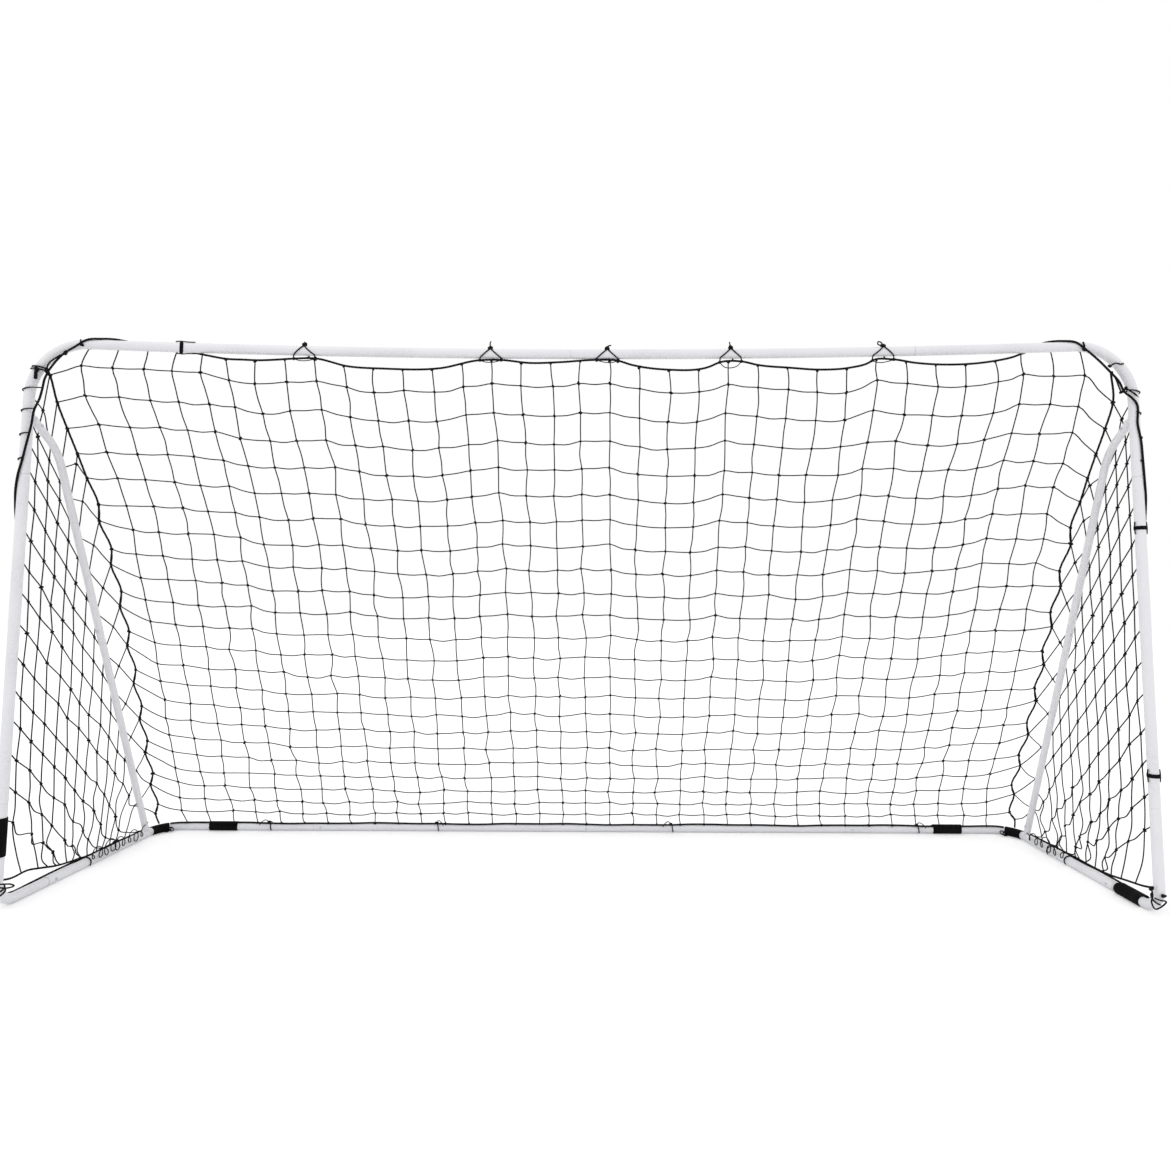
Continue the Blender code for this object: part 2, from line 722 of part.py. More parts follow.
def straight_band(name, middle, along, across, up, width, slit, rope_angle, parts):
    """A band round a straight stretch of tube. The slit is its middle angle and its half width."""
    ends = [middle - along * (width / 2), middle + along * (width / 2)]
    stations = [(end, across, up) for end in ends]
    centre, half = slit
    return band(name, stations, centre + half, centre - half + math.tau, rope_angle, parts)


def bands(parts):
    """The wide wraps and narrow straps that hold the net's ropes to the tubes."""
    open_ground = (-math.pi / 2, GROUND_SLIT)
    closed = (math.pi, BAND_SLIT / 2)
    post_axes = (X_AXIS, Y_AXIS)
    straight_band("wrap_post_left", post_point(-1, POST_WRAP_Z), Z_AXIS, -X_AXIS, Y_AXIS,
                  WRAP_LENGTH, closed, SIDE_ROPE_LIFT, parts)
    straight_band("wrap_side_right", side_point(1, SIDE_WRAP_Y), Y_AXIS, X_AXIS, Z_AXIS,
                  WRAP_LENGTH, open_ground, SIDE_ROPE_LIFT, parts)
    for x, label in zip(REAR_WRAP_X, ("left", "right")):
        straight_band(f"wrap_rear_{label}", rear_point(x), X_AXIS, Y_AXIS, Z_AXIS,
                      WRAP_LENGTH, open_ground, REAR_ROPE_LIFT, parts)
    for side, label in ((-1, "left"), (1, "right")):
        centre = Vector((side * CORNER_X, CORNER_Y, GROUND_Z))
        stations = []
        for place in CORNER_WRAP_STEPS:
            middle = corner_point(side, place, REAR_BEND_RADIUS, GROUND_Z)
            stations.append((middle, (middle - centre).normalized(), Z_AXIS))
        first = -math.pi / 2 + GROUND_SLIT
        band(f"wrap_corner_{label}", stations, first, first + math.tau - 2 * GROUND_SLIT, None, parts)
    for height, label in zip(POST_STRAP_Z, ("upper", "lower")):
        straight_band(f"strap_post_right_{label}", post_point(1, height), Z_AXIS, *post_axes,
                      STRAP_WIDTH, closed, SIDE_ROPE_LIFT, parts)
    slope = (bar_point(STRAP_X + STRAP_WIDTH) - bar_point(STRAP_X)).normalized()
    straight_band("strap_crossbar", bar_point(STRAP_X), slope, Y_AXIS, Z_AXIS,
                  STRAP_WIDTH, (math.pi / 2, BAND_SLIT / 2), -math.pi / 2, parts)


def around(axis_point, across, up, angle, reach):
    """A point at an angle round an axis."""
    return axis_point + across * (reach * math.cos(angle)) + up * (reach * math.sin(angle))


def side_rope(side, name, ties, parts, cutters):
    """Border rope from the corner knot, round the post, down it and back along the side bar."""
    out = X_AXIS * side
    shift = out * (ROPE_OFFSET * math.cos(SIDE_ROPE_LIFT))
    lift = ROPE_OFFSET * math.sin(SIDE_ROPE_LIFT)
    knot = TOP_ROPE_END - CORNER_KNOT_GAP
    bend = arc(Vector((side * BEND_X, FRONT_Y, BEND_Z)), out, Z_AXIS, TOP_BEND_RADIUS - ROPE_OFFSET,
               knot, 0.0, 2)
    steps = math.ceil((math.pi + SIDE_ROPE_LIFT) / ROPE_CROSSING_STEP)
    reach = ROPE_OFFSET / math.cos(ROPE_CROSSING_STEP / 2)
    crossing = []
    for step in range(steps + 1):
        share = step / steps
        angle = -math.pi + (math.pi + SIDE_ROPE_LIFT) * share
        height = ROPE_CROSSING_TOP + (ROPE_CROSSING_FOOT - ROPE_CROSSING_TOP) * share
        crossing.append(around(post_point(side, height), out, Y_AXIS, angle, reach))
    centre = side_point(side, FOOT_BEND_RADIUS) + Z_AXIS * FOOT_BEND_RADIUS + shift
    turn = arc(centre, -Y_AXIS, -Z_AXIS, FOOT_BEND_RADIUS - lift, 0.0, math.pi / 2, BEND_STEPS)
    end = Vector((side * SIDE_X, CORNER_Y, GROUND_Z + lift)) + shift
    stations = [(side_point(side, along), out, Z_AXIS) for along in ties]
    settled = post_point(side, ROPE_CROSSING_FOOT - ROPE_SETTLE) + shift + Y_AXIS * lift
    points = bend + crossing + [settled] + turn + [end]
    return roped(name, points, stations, SIDE_ROPE_LIFT, parts, cutters)


def ground_tie(name, station, rope_angle, cutters):
    """A cord over a ground tube and its rope, knotted onto the rope."""
    origin, across, up = station
    first = -math.pi / 2 + GROUND_TIE_SLIT
    last = first + math.tau - 2 * GROUND_TIE_SLIT
    clear = (TUBE_CORNER + TIE_RADIUS + FIT) / math.cos(GROUND_TIE_STEP / 2) - TUBE_CORNER
    loop = hugging(first, last, GROUND_TIE_STEP, clear, 0.0, rope_angle)
    run = [(origin + across * a + up * b, 1.0) for a, b in loop]
    mesh = mesh_of_curve(name, run, TIE_RADIUS, ROPE_SIDES, True)
    return as_guide(add_mesh(name, mesh, cutters, BLACK_ROPE))


def roped(name, points, stations, rope_angle, parts, cutters):
    """A border rope in one piece with the cords that are knotted onto it."""
    mesh = mesh_of_curve(name, straight(points, 1.0), ROPE_RADIUS, ROPE_SIDES, True)
    item = add_mesh(name, mesh, parts, BLACK_ROPE)
    for place, station in enumerate(stations):
        unite(item, ground_tie(f"{name}_tie_{place}", station, rope_angle, cutters))
    return item


def rear_rope_shift():
    """Shift of the rear rope from the rear bar's centre line, along +Y and +Z."""
    return ROPE_OFFSET * math.cos(REAR_ROPE_LIFT), ROPE_OFFSET * math.sin(REAR_ROPE_LIFT)


def rear_rope(name, parts, cutters):
    """Border rope on top of the rear bar, from one corner wrap to the other."""
    behind, up = rear_rope_shift()
    first = CORNER_WRAP_STEPS[-1]
    places = [first + ROPE_FROM_WRAP, *range(first + 1, BEND_STEPS + 1)]
    ends = []
    for side in (-1, 1):
        reach = REAR_BEND_RADIUS + behind
        ends.append([corner_point(side, place, reach, GROUND_Z + up) for place in places])
    stations = [(rear_point(x), Y_AXIS, Z_AXIS) for x in REAR_TIE_X]
    return roped(name, ends[0] + ends[1][::-1], stations, REAR_ROPE_LIFT, parts, cutters)


def held_stretches():
    """Where the top rope is held against the crossbar, as (start, end) from left to right."""
    held = [(x - ROPE_HOLD, x + ROPE_HOLD) for x in sorted([STRAP_X, *TIE_X])]
    return [(-BEND_X, -BEND_X), *held, (BEND_X, BEND_X)]


def rope_drop(x):
    """How far the top rope hangs below its seat under the bar, most between two ties."""
    held = held_stretches()
    for (_, left), (right, _), sag in zip(held, held[1:], TOP_ROPE_SAGS):
        if left < x < right:
            share = (x - left) / (right - left)
            return sag * 4 * share * (1 - share)
    return 0.0


def column_x(column, share_of_half):
    return (2.0 * column / BACK_COLUMNS - 1.0) * share_of_half


def top_rope(name, parts):
    """Border rope under the crossbar, which hangs a little between its ties."""
    centre = Vector((BEND_X, FRONT_Y, BEND_Z))
    reach = TOP_BEND_RADIUS - ROPE_OFFSET
    right = arc(centre, X_AXIS, Z_AXIS, reach, math.pi / 2, TOP_ROPE_END, 3)
    left = [Vector((-point.x, point.y, point.z)) for point in right]
    held = {end for stretch in held_stretches() for end in stretch}
    places = held | set(bar_stations())
    places |= {column_x(column, right[-1].x) for column in range(BACK_COLUMNS + 1)}
    inner = [x for x in sorted(places) if abs(x) < BEND_X]
    middle = [bar_point(x) - Z_AXIS * (ROPE_OFFSET + rope_drop(x)) for x in inner]
    spaced = [middle[0]]
    for point in middle[1:]:
        if point.x - spaced[-1].x > ROPE_HOLD:
            spaced.append(point)
    return cord(name, left[::-1] + spaced + right, ROPE_RADIUS, parts, BLACK_ROPE)


def crossbar_ties(parts):
    """Cord ties that rise from the rope on both sides and peak over the crossbar's top."""
    step = (TIE_FOOT - TIE_PEAK) / TIE_STEPS
    reach = (TUBE_CORNER + TIE_RADIUS + FIT) / math.cos(step / 2)
    for number, x in enumerate(TIE_X, start=1):
        points = []
        for place in range(-TIE_STEPS, TIE_STEPS + 1):
            along = x + TIE_SPREAD * place / TIE_STEPS
            angle = TIE_PEAK + step * abs(place)
            points.append(around(bar_point(along), Y_AXIS, Z_AXIS, angle, reach))
        cord(f"tie_crossbar_{number}", points, TIE_RADIUS, parts, BLACK_ROPE)


def row_share(place):
    """Share of the slope above a row: the meshes crowd together towards the ground."""
    return (place - ROW_CROWDING * place ** 4) / (1.0 - ROW_CROWDING)


def fall(share, top, foot, bulge):
    """Depth and height at a share of the way down, on a line that bulges to the rear."""
    depth = top.y + (foot.y - top.y) * share + bulge * 4 * share * (1 - share)
    return depth, top.z + (foot.z - top.z) * share


def seam_ends(side):
    """Where a seam rope starts below the corner knot and where it ends on the corner wrap."""
    reach = TOP_BEND_RADIUS - ROPE_OFFSET - 2 * ROPE_RADIUS - FIT
    centre = Vector((side * BEND_X, FRONT_Y, BEND_Z))
    top = around(centre, X_AXIS * side, Z_AXIS, TOP_ROPE_END, reach)
    middle = (CORNER_WRAP_STEPS[0] + CORNER_WRAP_STEPS[-1]) / 2
    return top, corner_point(side, middle, REAR_BEND_RADIUS, WRAP_TOP + ROPE_RADIUS)


def seam_point(side, share):
    """A point of the seam between the back net and a side net, which bows inwards near its top."""
    top, foot = seam_ends(side)
    depth, height = fall(share, top, foot, SEAM_BULGE)
    rest = 1.0 - share
    swell = SEAM_SWELL_LEFT if side < 0 else SEAM_SWELL_RIGHT
    inset = SEAM_INSET_TOP * rest ** 2 + swell * share * rest ** 3
    straight_x = abs(foot.x) + (abs(top.x) + SEAM_INSET_TOP - abs(foot.x)) * rest
    return Vector((side * (straight_x - inset), depth, height))


def seam_rope(side, name, parts):
    shares = [row_share(row / BACK_ROWS) for row in range(BACK_ROWS + 1)]
    return cord(name, [seam_point(side, share) for share in shares], ROPE_RADIUS, parts, BLACK_ROPE)


def back_point(column, row):
    """A crossing of the back net's strands, between the top rope, the seams and the rear rope."""
    share = row_share(row / BACK_ROWS)
    place = column_x(column, 1.0)
    side = -1 if place < 0 else 1
    edge = seam_point(side, share)
    x = place * (abs(edge.x) - SEAM_CLEAR)
    if abs(place) == 1.0:
        lowest = GROUND_Z + rear_rope_shift()[1] + NET_CLEAR
        return Vector((x, edge.y, max(edge.z, lowest)))
    top_x = place * abs(seam_ends(side)[0].x)
    lowest = max(rope_drop(top_x + step * ROPE_HOLD) for step in range(-TOP_ROW_REACH, TOP_ROW_REACH + 1))
    top = bar_point(top_x) - Z_AXIS * (ROPE_OFFSET + lowest + NET_CLEAR)
    behind, up = rear_rope_shift()
    foot = Vector((x, REAR_Y + behind, GROUND_Z + up))
    foot += (top - foot).normalized() * NET_CLEAR
    depth, height = fall(share, top, foot, NET_BULGE)
    return Vector((x, depth, height))


def strands(name, built, parts):
    """A net whose strands follow the edges of a flat mesh and leave its faces open."""
    mesh = bpy.data.meshes.new(name)
    bmesh.ops.recalc_face_normals(built, faces=built.faces)
    built.to_mesh(mesh)
    built.free()
    item = add_mesh(name, mesh, parts, BLACK_STRAND)
    wires = item.modifiers.new("strands", "WIREFRAME")
    wires.thickness = STRAND
    wires.offset = 0.0
    wires.use_even_offset = False
    wires.use_boundary = True
    return item


def lattice(points_at, columns, rows):
    """A grid of four-sided meshes whose corners come from a function of column and row."""
    built = bmesh.new()
    grid = []
    for row in range(rows + 1):
        grid.append([built.verts.new(points_at(column, row)) for column in range(columns + 1)])
    for upper, lower in zip(grid, grid[1:]):
        for column in range(columns):
            built.faces.new((upper[column], upper[column + 1], lower[column + 1], lower[column]))
    return built


def fold_depth(height):
    """How far behind the post's centre line the side net folds round the brace, at a height."""
    line = BRACE_FOOT_Y - FRONT_Y - (height - GROUND_Z) * math.tan(BRACE_LEAN)
    return line + FOLD_BEHIND / math.cos(BRACE_LEAN)


def side_net_low():
    return WRAP_TOP + FIT + STRAND / 2


def side_net_front():
    return ROPE_OFFSET * math.sin(SIDE_ROPE_LIFT) + NET_CLEAR


def side_pitch():
    """Distance between upright strands, with the last but one column's foot on the fold."""
    return (fold_depth(side_net_low()) - side_net_front()) / (SIDE_COLUMNS - 1)


def flat_knot(column, row):
    """A knot of the side net laid flat: distance along the net behind the post, and height.

    Row 0 lies on the fold and row -1 on the seam, because the rows' pitch follows from the slopes.
    """
    along = side_net_front() + column * side_pitch()
    rise_on_fold = side_pitch() / math.tan(BRACE_LEAN)
    row_pitch = rise_on_fold - side_pitch() * math.tan(SIDE_SLOPE)
    height = side_net_low() + (SIDE_COLUMNS - 1 - column) * rise_on_fold
    return Vector((along, 0.0, height - row * row_pitch))


def side_net(side, name, parts):
    """A side net, knotted flat, cut off above the ground and bent round the brace to the seam."""
    low = side_net_low()
    built = bmesh.new()
    knots = {}

    def knot(column, row):
        if (column, row) not in knots:
            knots[column, row] = built.verts.new(flat_knot(column, row))
        return knots[column, row]

    for column in range(SIDE_COLUMNS):
        row = -1
        while flat_knot(column, row).z > low:
            cell = [(column, row), (column + 1, row - 1), (column + 1, row), (column, row + 1)]
            if row < 0:
                cell.pop(1)
            if flat_knot(*cell[0]).z <= SIDE_NET_TOP:
                built.faces.new([knot(*corner) for corner in cell])
            row += 1
    trim(built, Vector((0.0, 0.0, low)), -Z_AXIS)
    bend = Vector((FOOT_BEND_RADIUS, 0.0, GROUND_Z + FOOT_BEND_RADIUS))
    for angle in FOOT_TRIMS:
        down = Vector((-math.cos(angle), 0.0, -math.sin(angle)))
        trim(built, bend + down * (FOOT_BEND_RADIUS - side_net_front()), down)
    close_short(built)
    for corner in built.verts:
        corner.co = bent(side, corner.co.x, corner.co.z)
    return strands(name, built, parts)


def trim(built, place, normal):
    """Cuts a flat net along a line and drops what lies on the normal's side."""
    geom = built.verts[:] + built.edges[:] + built.faces[:]
    bmesh.ops.bisect_plane(
        built, geom=geom, dist=WELD, plane_co=place, plane_no=normal, clear_outer=True
    )


def close_short(built):
    """Draws the ends of each very short strand together, onto the end that has fewer meshes."""
    while True:
        short = [edge for edge in built.edges if edge.calc_length() < SHORT_STRAND]
        if not short:
            return
        mover, keeper = sorted(short[0].verts, key=lambda corner: -len(corner.link_faces))
        bmesh.ops.weld_verts(built, targetmap={mover: keeper})


def bent(side, along, height):
    """Place of a point of the flat side net once the net is hung."""
    outside = SIDE_X + ROPE_OFFSET * math.cos(SIDE_ROPE_LIFT)
    fold = fold_depth(height)
    if along <= fold + WELD:
        return Vector((side * outside, FRONT_Y + along, height))
    top, foot = seam_ends(side)
    share = min(1.0, (top.z - height) / (top.z - foot.z))
    seam = seam_point(side, share)
    corner = Vector((side * outside, FRONT_Y + fold, height))
    back_to_fold = Vector((corner.x - seam.x, corner.y - seam.y, 0.0)).normalized()
    end = Vector((seam.x, seam.y, height)) + back_to_fold * SEAM_CLEAR
    return corner.lerp(end, min(1.0, (along - fold) / side_pitch()))


def main():
    clear_scene()
    parts = new_collection("soccer_goal")
    cutters = new_collection("cutters")
    tubes = frame_tubes(parts, cutters)
    for joint in joints():
        hole = button_hole(joint, cutters)
        for piece in pieces_at(joint.name):
            subtract(tubes[piece], hole)
        snap_button(joint, parts, cutters)
    for side, label, ties in ((-1, "left", LEFT_SIDE_TIE_Y), (1, "right", RIGHT_SIDE_TIE_Y)):
        side_rope(side, f"side_rope_{label}", ties, parts, cutters)
        seam_rope(side, f"seam_rope_{label}", parts)
        side_net(side, f"side_net_{label}", parts)
    rear_rope("rear_rope", parts, cutters)
    top_rope("top_rope", parts)
    crossbar_ties(parts)
    bands(parts)
    strands("back_net", lattice(back_point, BACK_COLUMNS, BACK_ROWS), parts)


if __name__ == "__main__":
    main()
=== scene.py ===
"""Soccer goal: the dressed scene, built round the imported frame.

The goal stands on the ground plane. +X runs along the crossbar, -Y faces the field and +Z is up.
The origin is under the middle of the frame and every length is in metres.
"""

import logging
import math
from dataclasses import dataclass, field
from enum import Enum
from typing import Iterable, Optional, Sequence, Tuple

import bmesh
import bpy
import numpy as np
from mathutils import Matrix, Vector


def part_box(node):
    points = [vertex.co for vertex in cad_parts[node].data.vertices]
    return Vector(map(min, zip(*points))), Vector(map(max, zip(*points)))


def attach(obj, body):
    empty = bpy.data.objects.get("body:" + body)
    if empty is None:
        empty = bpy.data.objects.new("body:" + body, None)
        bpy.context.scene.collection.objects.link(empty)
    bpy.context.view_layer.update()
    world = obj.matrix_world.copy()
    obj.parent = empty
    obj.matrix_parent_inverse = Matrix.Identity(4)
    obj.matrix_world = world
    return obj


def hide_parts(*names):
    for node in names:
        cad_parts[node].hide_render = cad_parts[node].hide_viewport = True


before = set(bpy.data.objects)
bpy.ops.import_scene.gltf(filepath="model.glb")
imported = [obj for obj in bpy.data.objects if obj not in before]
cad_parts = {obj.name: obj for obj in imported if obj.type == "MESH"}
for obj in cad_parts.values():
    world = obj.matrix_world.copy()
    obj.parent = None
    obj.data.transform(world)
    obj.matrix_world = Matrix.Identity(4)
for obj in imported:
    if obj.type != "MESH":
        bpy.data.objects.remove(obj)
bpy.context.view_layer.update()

LOG = logging.getLogger("soccer_goal")
SEED = 2031

Array = np.ndarray
Draws = np.random.Generator
Mesh, Material, Object = bpy.types.Mesh, bpy.types.Material, bpy.types.Object
Node, Tree, Socket = bpy.types.Node, bpy.types.NodeTree, bpy.types.NodeSocket
Pair = Tuple[float, float]
Point = Sequence[float]

X_AXIS = np.array((1.0, 0.0, 0.0))
Y_AXIS = np.array((0.0, 1.0, 0.0))
Z_AXIS = np.array((0.0, 0.0, 1.0))
WHITE = (1.0, 1.0, 1.0, 1.0)


def middle_of(node: str) -> Array:
    """Middle of a frame node's box."""
    low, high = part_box(node)
    return np.array((low + high) / 2)


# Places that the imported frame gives
TUBE_RADIUS = float(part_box("post_right")[1].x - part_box("post_right")[0].x) / 2
SIDE_X, FRONT_Y, _ = (float(value) for value in middle_of("post_right"))
_, REAR_Y, GROUND_Z = (float(value) for value in middle_of("rear_bar_right"))
TOP_Z = float(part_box("top_corner_right")[1].z) - TUBE_RADIUS

# Bends and slopes of the frame
TOP_BEND = 0.18
FOOT_BEND = 0.075
REAR_BEND = 0.10
CROSSBAR_DROOP = 0.03
BRACE_BEND = 0.20
BRACE_LEAN = math.radians(23.3)
STUB_SLOPE = math.radians(35.0)
BEND_X = SIDE_X - TOP_BEND
BEND_Z = TOP_Z - TOP_BEND
CORNER_X = SIDE_X - REAR_BEND
CORNER_Y = REAR_Y - REAR_BEND
STUB_HEIGHT = BEND_Z - 0.049
BRACE_FOOT_Y = CORNER_Y - 0.008

# Swaged joints
FIT = 0.0003
INSERT = 0.07
SWAGE = 0.006
RIM = 0.0004
SETBACK = 0.03
BAR_BUTTON_X = 1.13
POST_TOP_SEAM = BEND_Z - 0.254
POST_FOOT_SEAM = 0.33
SIDE_SEAM = 0.21
BRACE_SEAM = 0.89

# Cords and nets
ROPE = 0.0035
TIE = 0.0022
ROPE_OFFSET = TUBE_RADIUS / math.cos(math.pi / 12) + ROPE + FIT
SIDE_LIFT = math.radians(40.0)
REAR_LIFT = math.radians(120.0)
NET_OUTSIDE = SIDE_X + ROPE_OFFSET * math.cos(SIDE_LIFT)
STRAP_HEIGHTS = (1.213, 0.43)


class Side(Enum):
    """Which side of the goal a piece is on, as seen from the field."""

    LEFT = -1
    RIGHT = 1

    @property
    def label(self) -> str:
        """Name of the side, as the nodes carry it."""
        return self.name.lower()


class Slot(Enum):
    """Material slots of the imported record."""

    COAT = "white_coat"
    BUTTON = "button_steel"
    NET = "black_net"
    ROPE = "black_rope"
    FABRIC = "black_fabric"


class End(Enum):
    """How a tube ends."""

    PLAIN = "plain"
    NARROWED = "narrowed"


def unit(vectors: Array) -> Array:
    """Vectors of length one in the same directions."""
    return vectors / np.linalg.norm(vectors, axis=-1, keepdims=True)


def arc(centre: Array, start: Array, end: Array, radius: float, first: float, last: float,
        steps: int = 26) -> Array:
    """Points of an arc: centre + radius (start cos a + end sin a), for a from first to last.

    Args:
        centre: Middle of the arc.
        start: Direction at 0 degrees.
        end: Direction at 90 degrees.
        radius: Radius of the arc.
        first: First angle, in radians.
        last: Last angle, in radians.
        steps: Number of spans.

    Returns:
        An array of steps + 1 points.
    """
    angle = np.linspace(first, last, steps + 1)[:, None]
    return centre + radius * (np.cos(angle) * start + np.sin(angle) * end)


def smooth(points: Iterable[Point], step: float) -> Array:
    """A smooth path through chosen points, at even steps.

    Each stretch is the cubic Hermite h00 a + h10 L m + h01 b + h11 L n, with L the chord's length
    and slopes m and n that weigh the two chords at a point by the other chord's length.

    Args:
        points: The chosen points.
        step: Largest distance between two points of the path.

    Returns:
        The path's points.
    """
    given = np.asarray(list(points), float)
    chords = np.linalg.norm(np.diff(given, axis=0), axis=1)
    slopes = np.diff(given, axis=0) / chords[:, None]
    before, after = chords[:-1, None], chords[1:, None]
    inner = (after * slopes[:-1] + before * slopes[1:]) / (before + after)
    tangents = np.vstack((slopes[:1], inner, slopes[-1:]))
    lengths = np.concatenate(([0.0], np.cumsum(chords)))
    stops = np.linspace(0.0, lengths[-1], max(2, math.ceil(lengths[-1] / step) + 1))
    place = np.clip(np.searchsorted(lengths, stops, side="right") - 1, 0, len(chords) - 1)
    t = ((stops - lengths[place]) / chords[place])[:, None]
    size = chords[place][:, None]
    return (
        (2 * t**3 - 3 * t**2 + 1) * given[place]
        + (t**3 - 2 * t**2 + t) * size * tangents[place]
        + (3 * t**2 - 2 * t**3) * given[place + 1]
        + (t**3 - t**2) * size * tangents[place + 1]
    )


class Track:
    """A path with a frame at every point: its heading, a side direction and an up direction."""

    def __init__(self, points: Array, loop: bool = False) -> None:
        """Works out the headings and carries one side direction along the path.

        The side n at a point is the last one with its share of the new heading t taken out,
        n - t (n . t), made length one again. On a closed loop the leftover turn is spread evenly.

        Args:
            points: Points of the path; a loop doesn't repeat its first point.
            loop: Whether the path closes on itself.
        """
        self.points = np.asarray(points, float)
        around = np.vstack((self.points[-1:], self.points, self.points[:1])) if loop else self.points
        ahead = around[2:] - around[:-2] if loop else np.gradient(around, axis=0)
        self.headings = unit(ahead)
        steps = np.linalg.norm(np.diff(self.points, axis=0), axis=1)
        self.lengths = np.concatenate(([0.0], np.cumsum(steps)))
        side = np.eye(3)[np.argmin(np.abs(self.headings).mean(axis=0))]
        self.sides = np.empty_like(self.points)
        for place, heading in enumerate(self.headings):
            side = unit(side - heading * side.dot(heading))
            self.sides[place] = side
        if loop:
            self.spread_turn()

    def spread_turn(self) -> None:
        """Turns each side direction a little, so that the last one leads back to the first."""
        first, heading = self.sides[0], self.headings[0]
        last = unit(self.sides[-1] - heading * self.sides[-1].dot(heading))
        gap = math.atan2(np.cross(last, first).dot(heading), last.dot(first))
        angle = (gap * np.arange(len(self.sides)) / len(self.sides))[:, None]
        ups = np.cross(self.headings, self.sides)
        self.sides = np.cos(angle) * self.sides + np.sin(angle) * ups

    @property
    def length(self) -> float:
        """Length of the path."""
        return float(self.lengths[-1])

    def rings(self, stops: Array, radii: Array, count: int) -> Array:
        """Rings round the path: c + r (n cos a + b sin a) at each stop.

        Args:
            stops: Distances along the path.
            radii: Radius at each stop, or an array of one radius for each ring point.
            count: Points on a ring.

        Returns:
            An array of rings, each an array of points.
        """
        def between(values: Array) -> Array:
            """Values of the path's points, taken at the stops."""
            return np.stack([np.interp(stops, self.lengths, column) for column in values.T], -1)

        heading = unit(between(self.headings))
        side = between(self.sides)
        side = unit(side - heading * np.sum(side * heading, axis=1, keepdims=True))
        up = np.cross(heading, side)
        angle = np.linspace(0.0, math.tau, count, endpoint=False)
        reach = radii[:, None] if radii.ndim == 1 else radii
        across = (reach * np.cos(angle))[..., None] * side[:, None]
        above = (reach * np.sin(angle))[..., None] * up[:, None]
        return between(self.points)[:, None] + across + above


class Shell:
    """Closed surfaces gathered into one mesh, with a place on the finish for each face corner."""

    def __init__(self) -> None:
        """Starts with no surface."""
        self.points: list[Array] = []
        self.faces: list[list[int]] = []
        self.corners: list[Array] = []
        self.size = 0

    def store(self, points: Array, faces: Array, corners: Array) -> None:
        """Adds faces of one kind whose indices count from the first of the given points.

        Args:
            points: New points, or an empty array when the faces use the points added last.
            faces: Face indices, already counted from the shell's first point.
            corners: A pair of values for each face corner.
        """
        if len(points):
            self.points.append(points.reshape(-1, 3))
            self.size += len(self.points[-1])
        self.faces += faces.tolist()
        self.corners.append(corners.reshape(-1, 2))

    def sweep(self, rings: Array, along: Array, loop: bool = False, caps: bool = True,
              wide: float = 1.0) -> None:
        """Joins rings into a closed surface: four-sided faces between them and a fan at each end.

        Args:
            rings: Rings of points, each turning from the side direction to the up direction.
            along: Distance along the path of each ring; one more than the rings on a loop.
            loop: Whether the last ring joins the first.
            caps: Whether the ends are closed.
            wide: How much of the finish's map one ring takes.
        """
        rows, count, _ = rings.shape
        base = self.size
        row = np.arange(rows if loop else rows - 1)[:, None]
        ring = np.arange(count)[None, :]
        above, beside = (row + 1) % rows, (ring + 1) % count
        quads = np.stack((row * count + ring, row * count + beside,
                          above * count + beside, above * count + ring), -1).reshape(-1, 4) + base
        turn, past = np.broadcast_arrays(wide * ring / count, along[row])
        _, ahead = np.broadcast_arrays(ring, along[row + 1])
        after = turn + wide / count
        corners = np.stack((turn, past, after, past, after, ahead, turn, ahead), -1)
        self.store(rings, quads, corners)
        if loop or not caps:
            return
        order = np.arange(count)
        shift = (order + 1) % count
        last = base + (rows - 1) * count
        hubs = np.stack((rings[0].mean(axis=0), rings[-1].mean(axis=0)))
        hub = np.full(count, self.size)
        start = np.stack((hub, base + shift, base + order), -1)
        end = np.stack((hub + 1, last + order, last + shift), -1)
        flat = np.tile(np.array((0.5, 0.0, 0.6, 0.01, 0.4, 0.01)), (2 * count, 1))
        self.store(hubs, np.vstack((start, end)), flat)

    def copies(self, template: "Shell", places: Array, turns: Array) -> None:
        """Repeats a small closed shape: each point p of it becomes place + turn p.

        The shape's four-sided faces come before its three-sided ones.

        Args:
            template: The shape, round the origin.
            places: Where each copy goes.
            turns: A turning and scaling matrix for each copy.
        """
        shape = np.vstack(template.points)
        points = places[:, None] + np.einsum("kij,vj->kvi", turns, shape)
        shifts = (self.size + np.arange(len(places)) * len(shape))[:, None, None]
        corners = np.vstack(template.corners)
        for count in (4, 3):
            faces = np.array([face for face in template.faces if len(face) == count])
            share, corners = np.split(corners, [faces.size])
            every = (faces[None] + shifts).reshape(-1, count)
            self.store(points, every, np.tile(share, (len(places), 1)))
            points = points[:0]

    def mesh(self, name: str, crisp: float = 38.0) -> Mesh:
        """The gathered surfaces as a mesh, shaded smooth but for edges sharper than an angle.

        Args:
            name: Name of the mesh.
            crisp: Angle in degrees above which an edge stays sharp.

        Returns:
            The mesh.
        """
        made = bpy.data.meshes.new(name)
        made.from_pydata(np.vstack(self.points).tolist(), [], self.faces)
        layer = made.uv_layers.new(name="finish")
        layer.data.foreach_set("uv", np.vstack(self.corners).astype(np.float32).ravel())
        made.shade_smooth()
        made.set_sharp_from_angle(angle=math.radians(crisp))
        return made


def new_object(name: str, data: object) -> Object:
    """A new object, linked to the scene."""
    made = bpy.data.objects.new(name, data)
    bpy.context.scene.collection.objects.link(made)
    return made


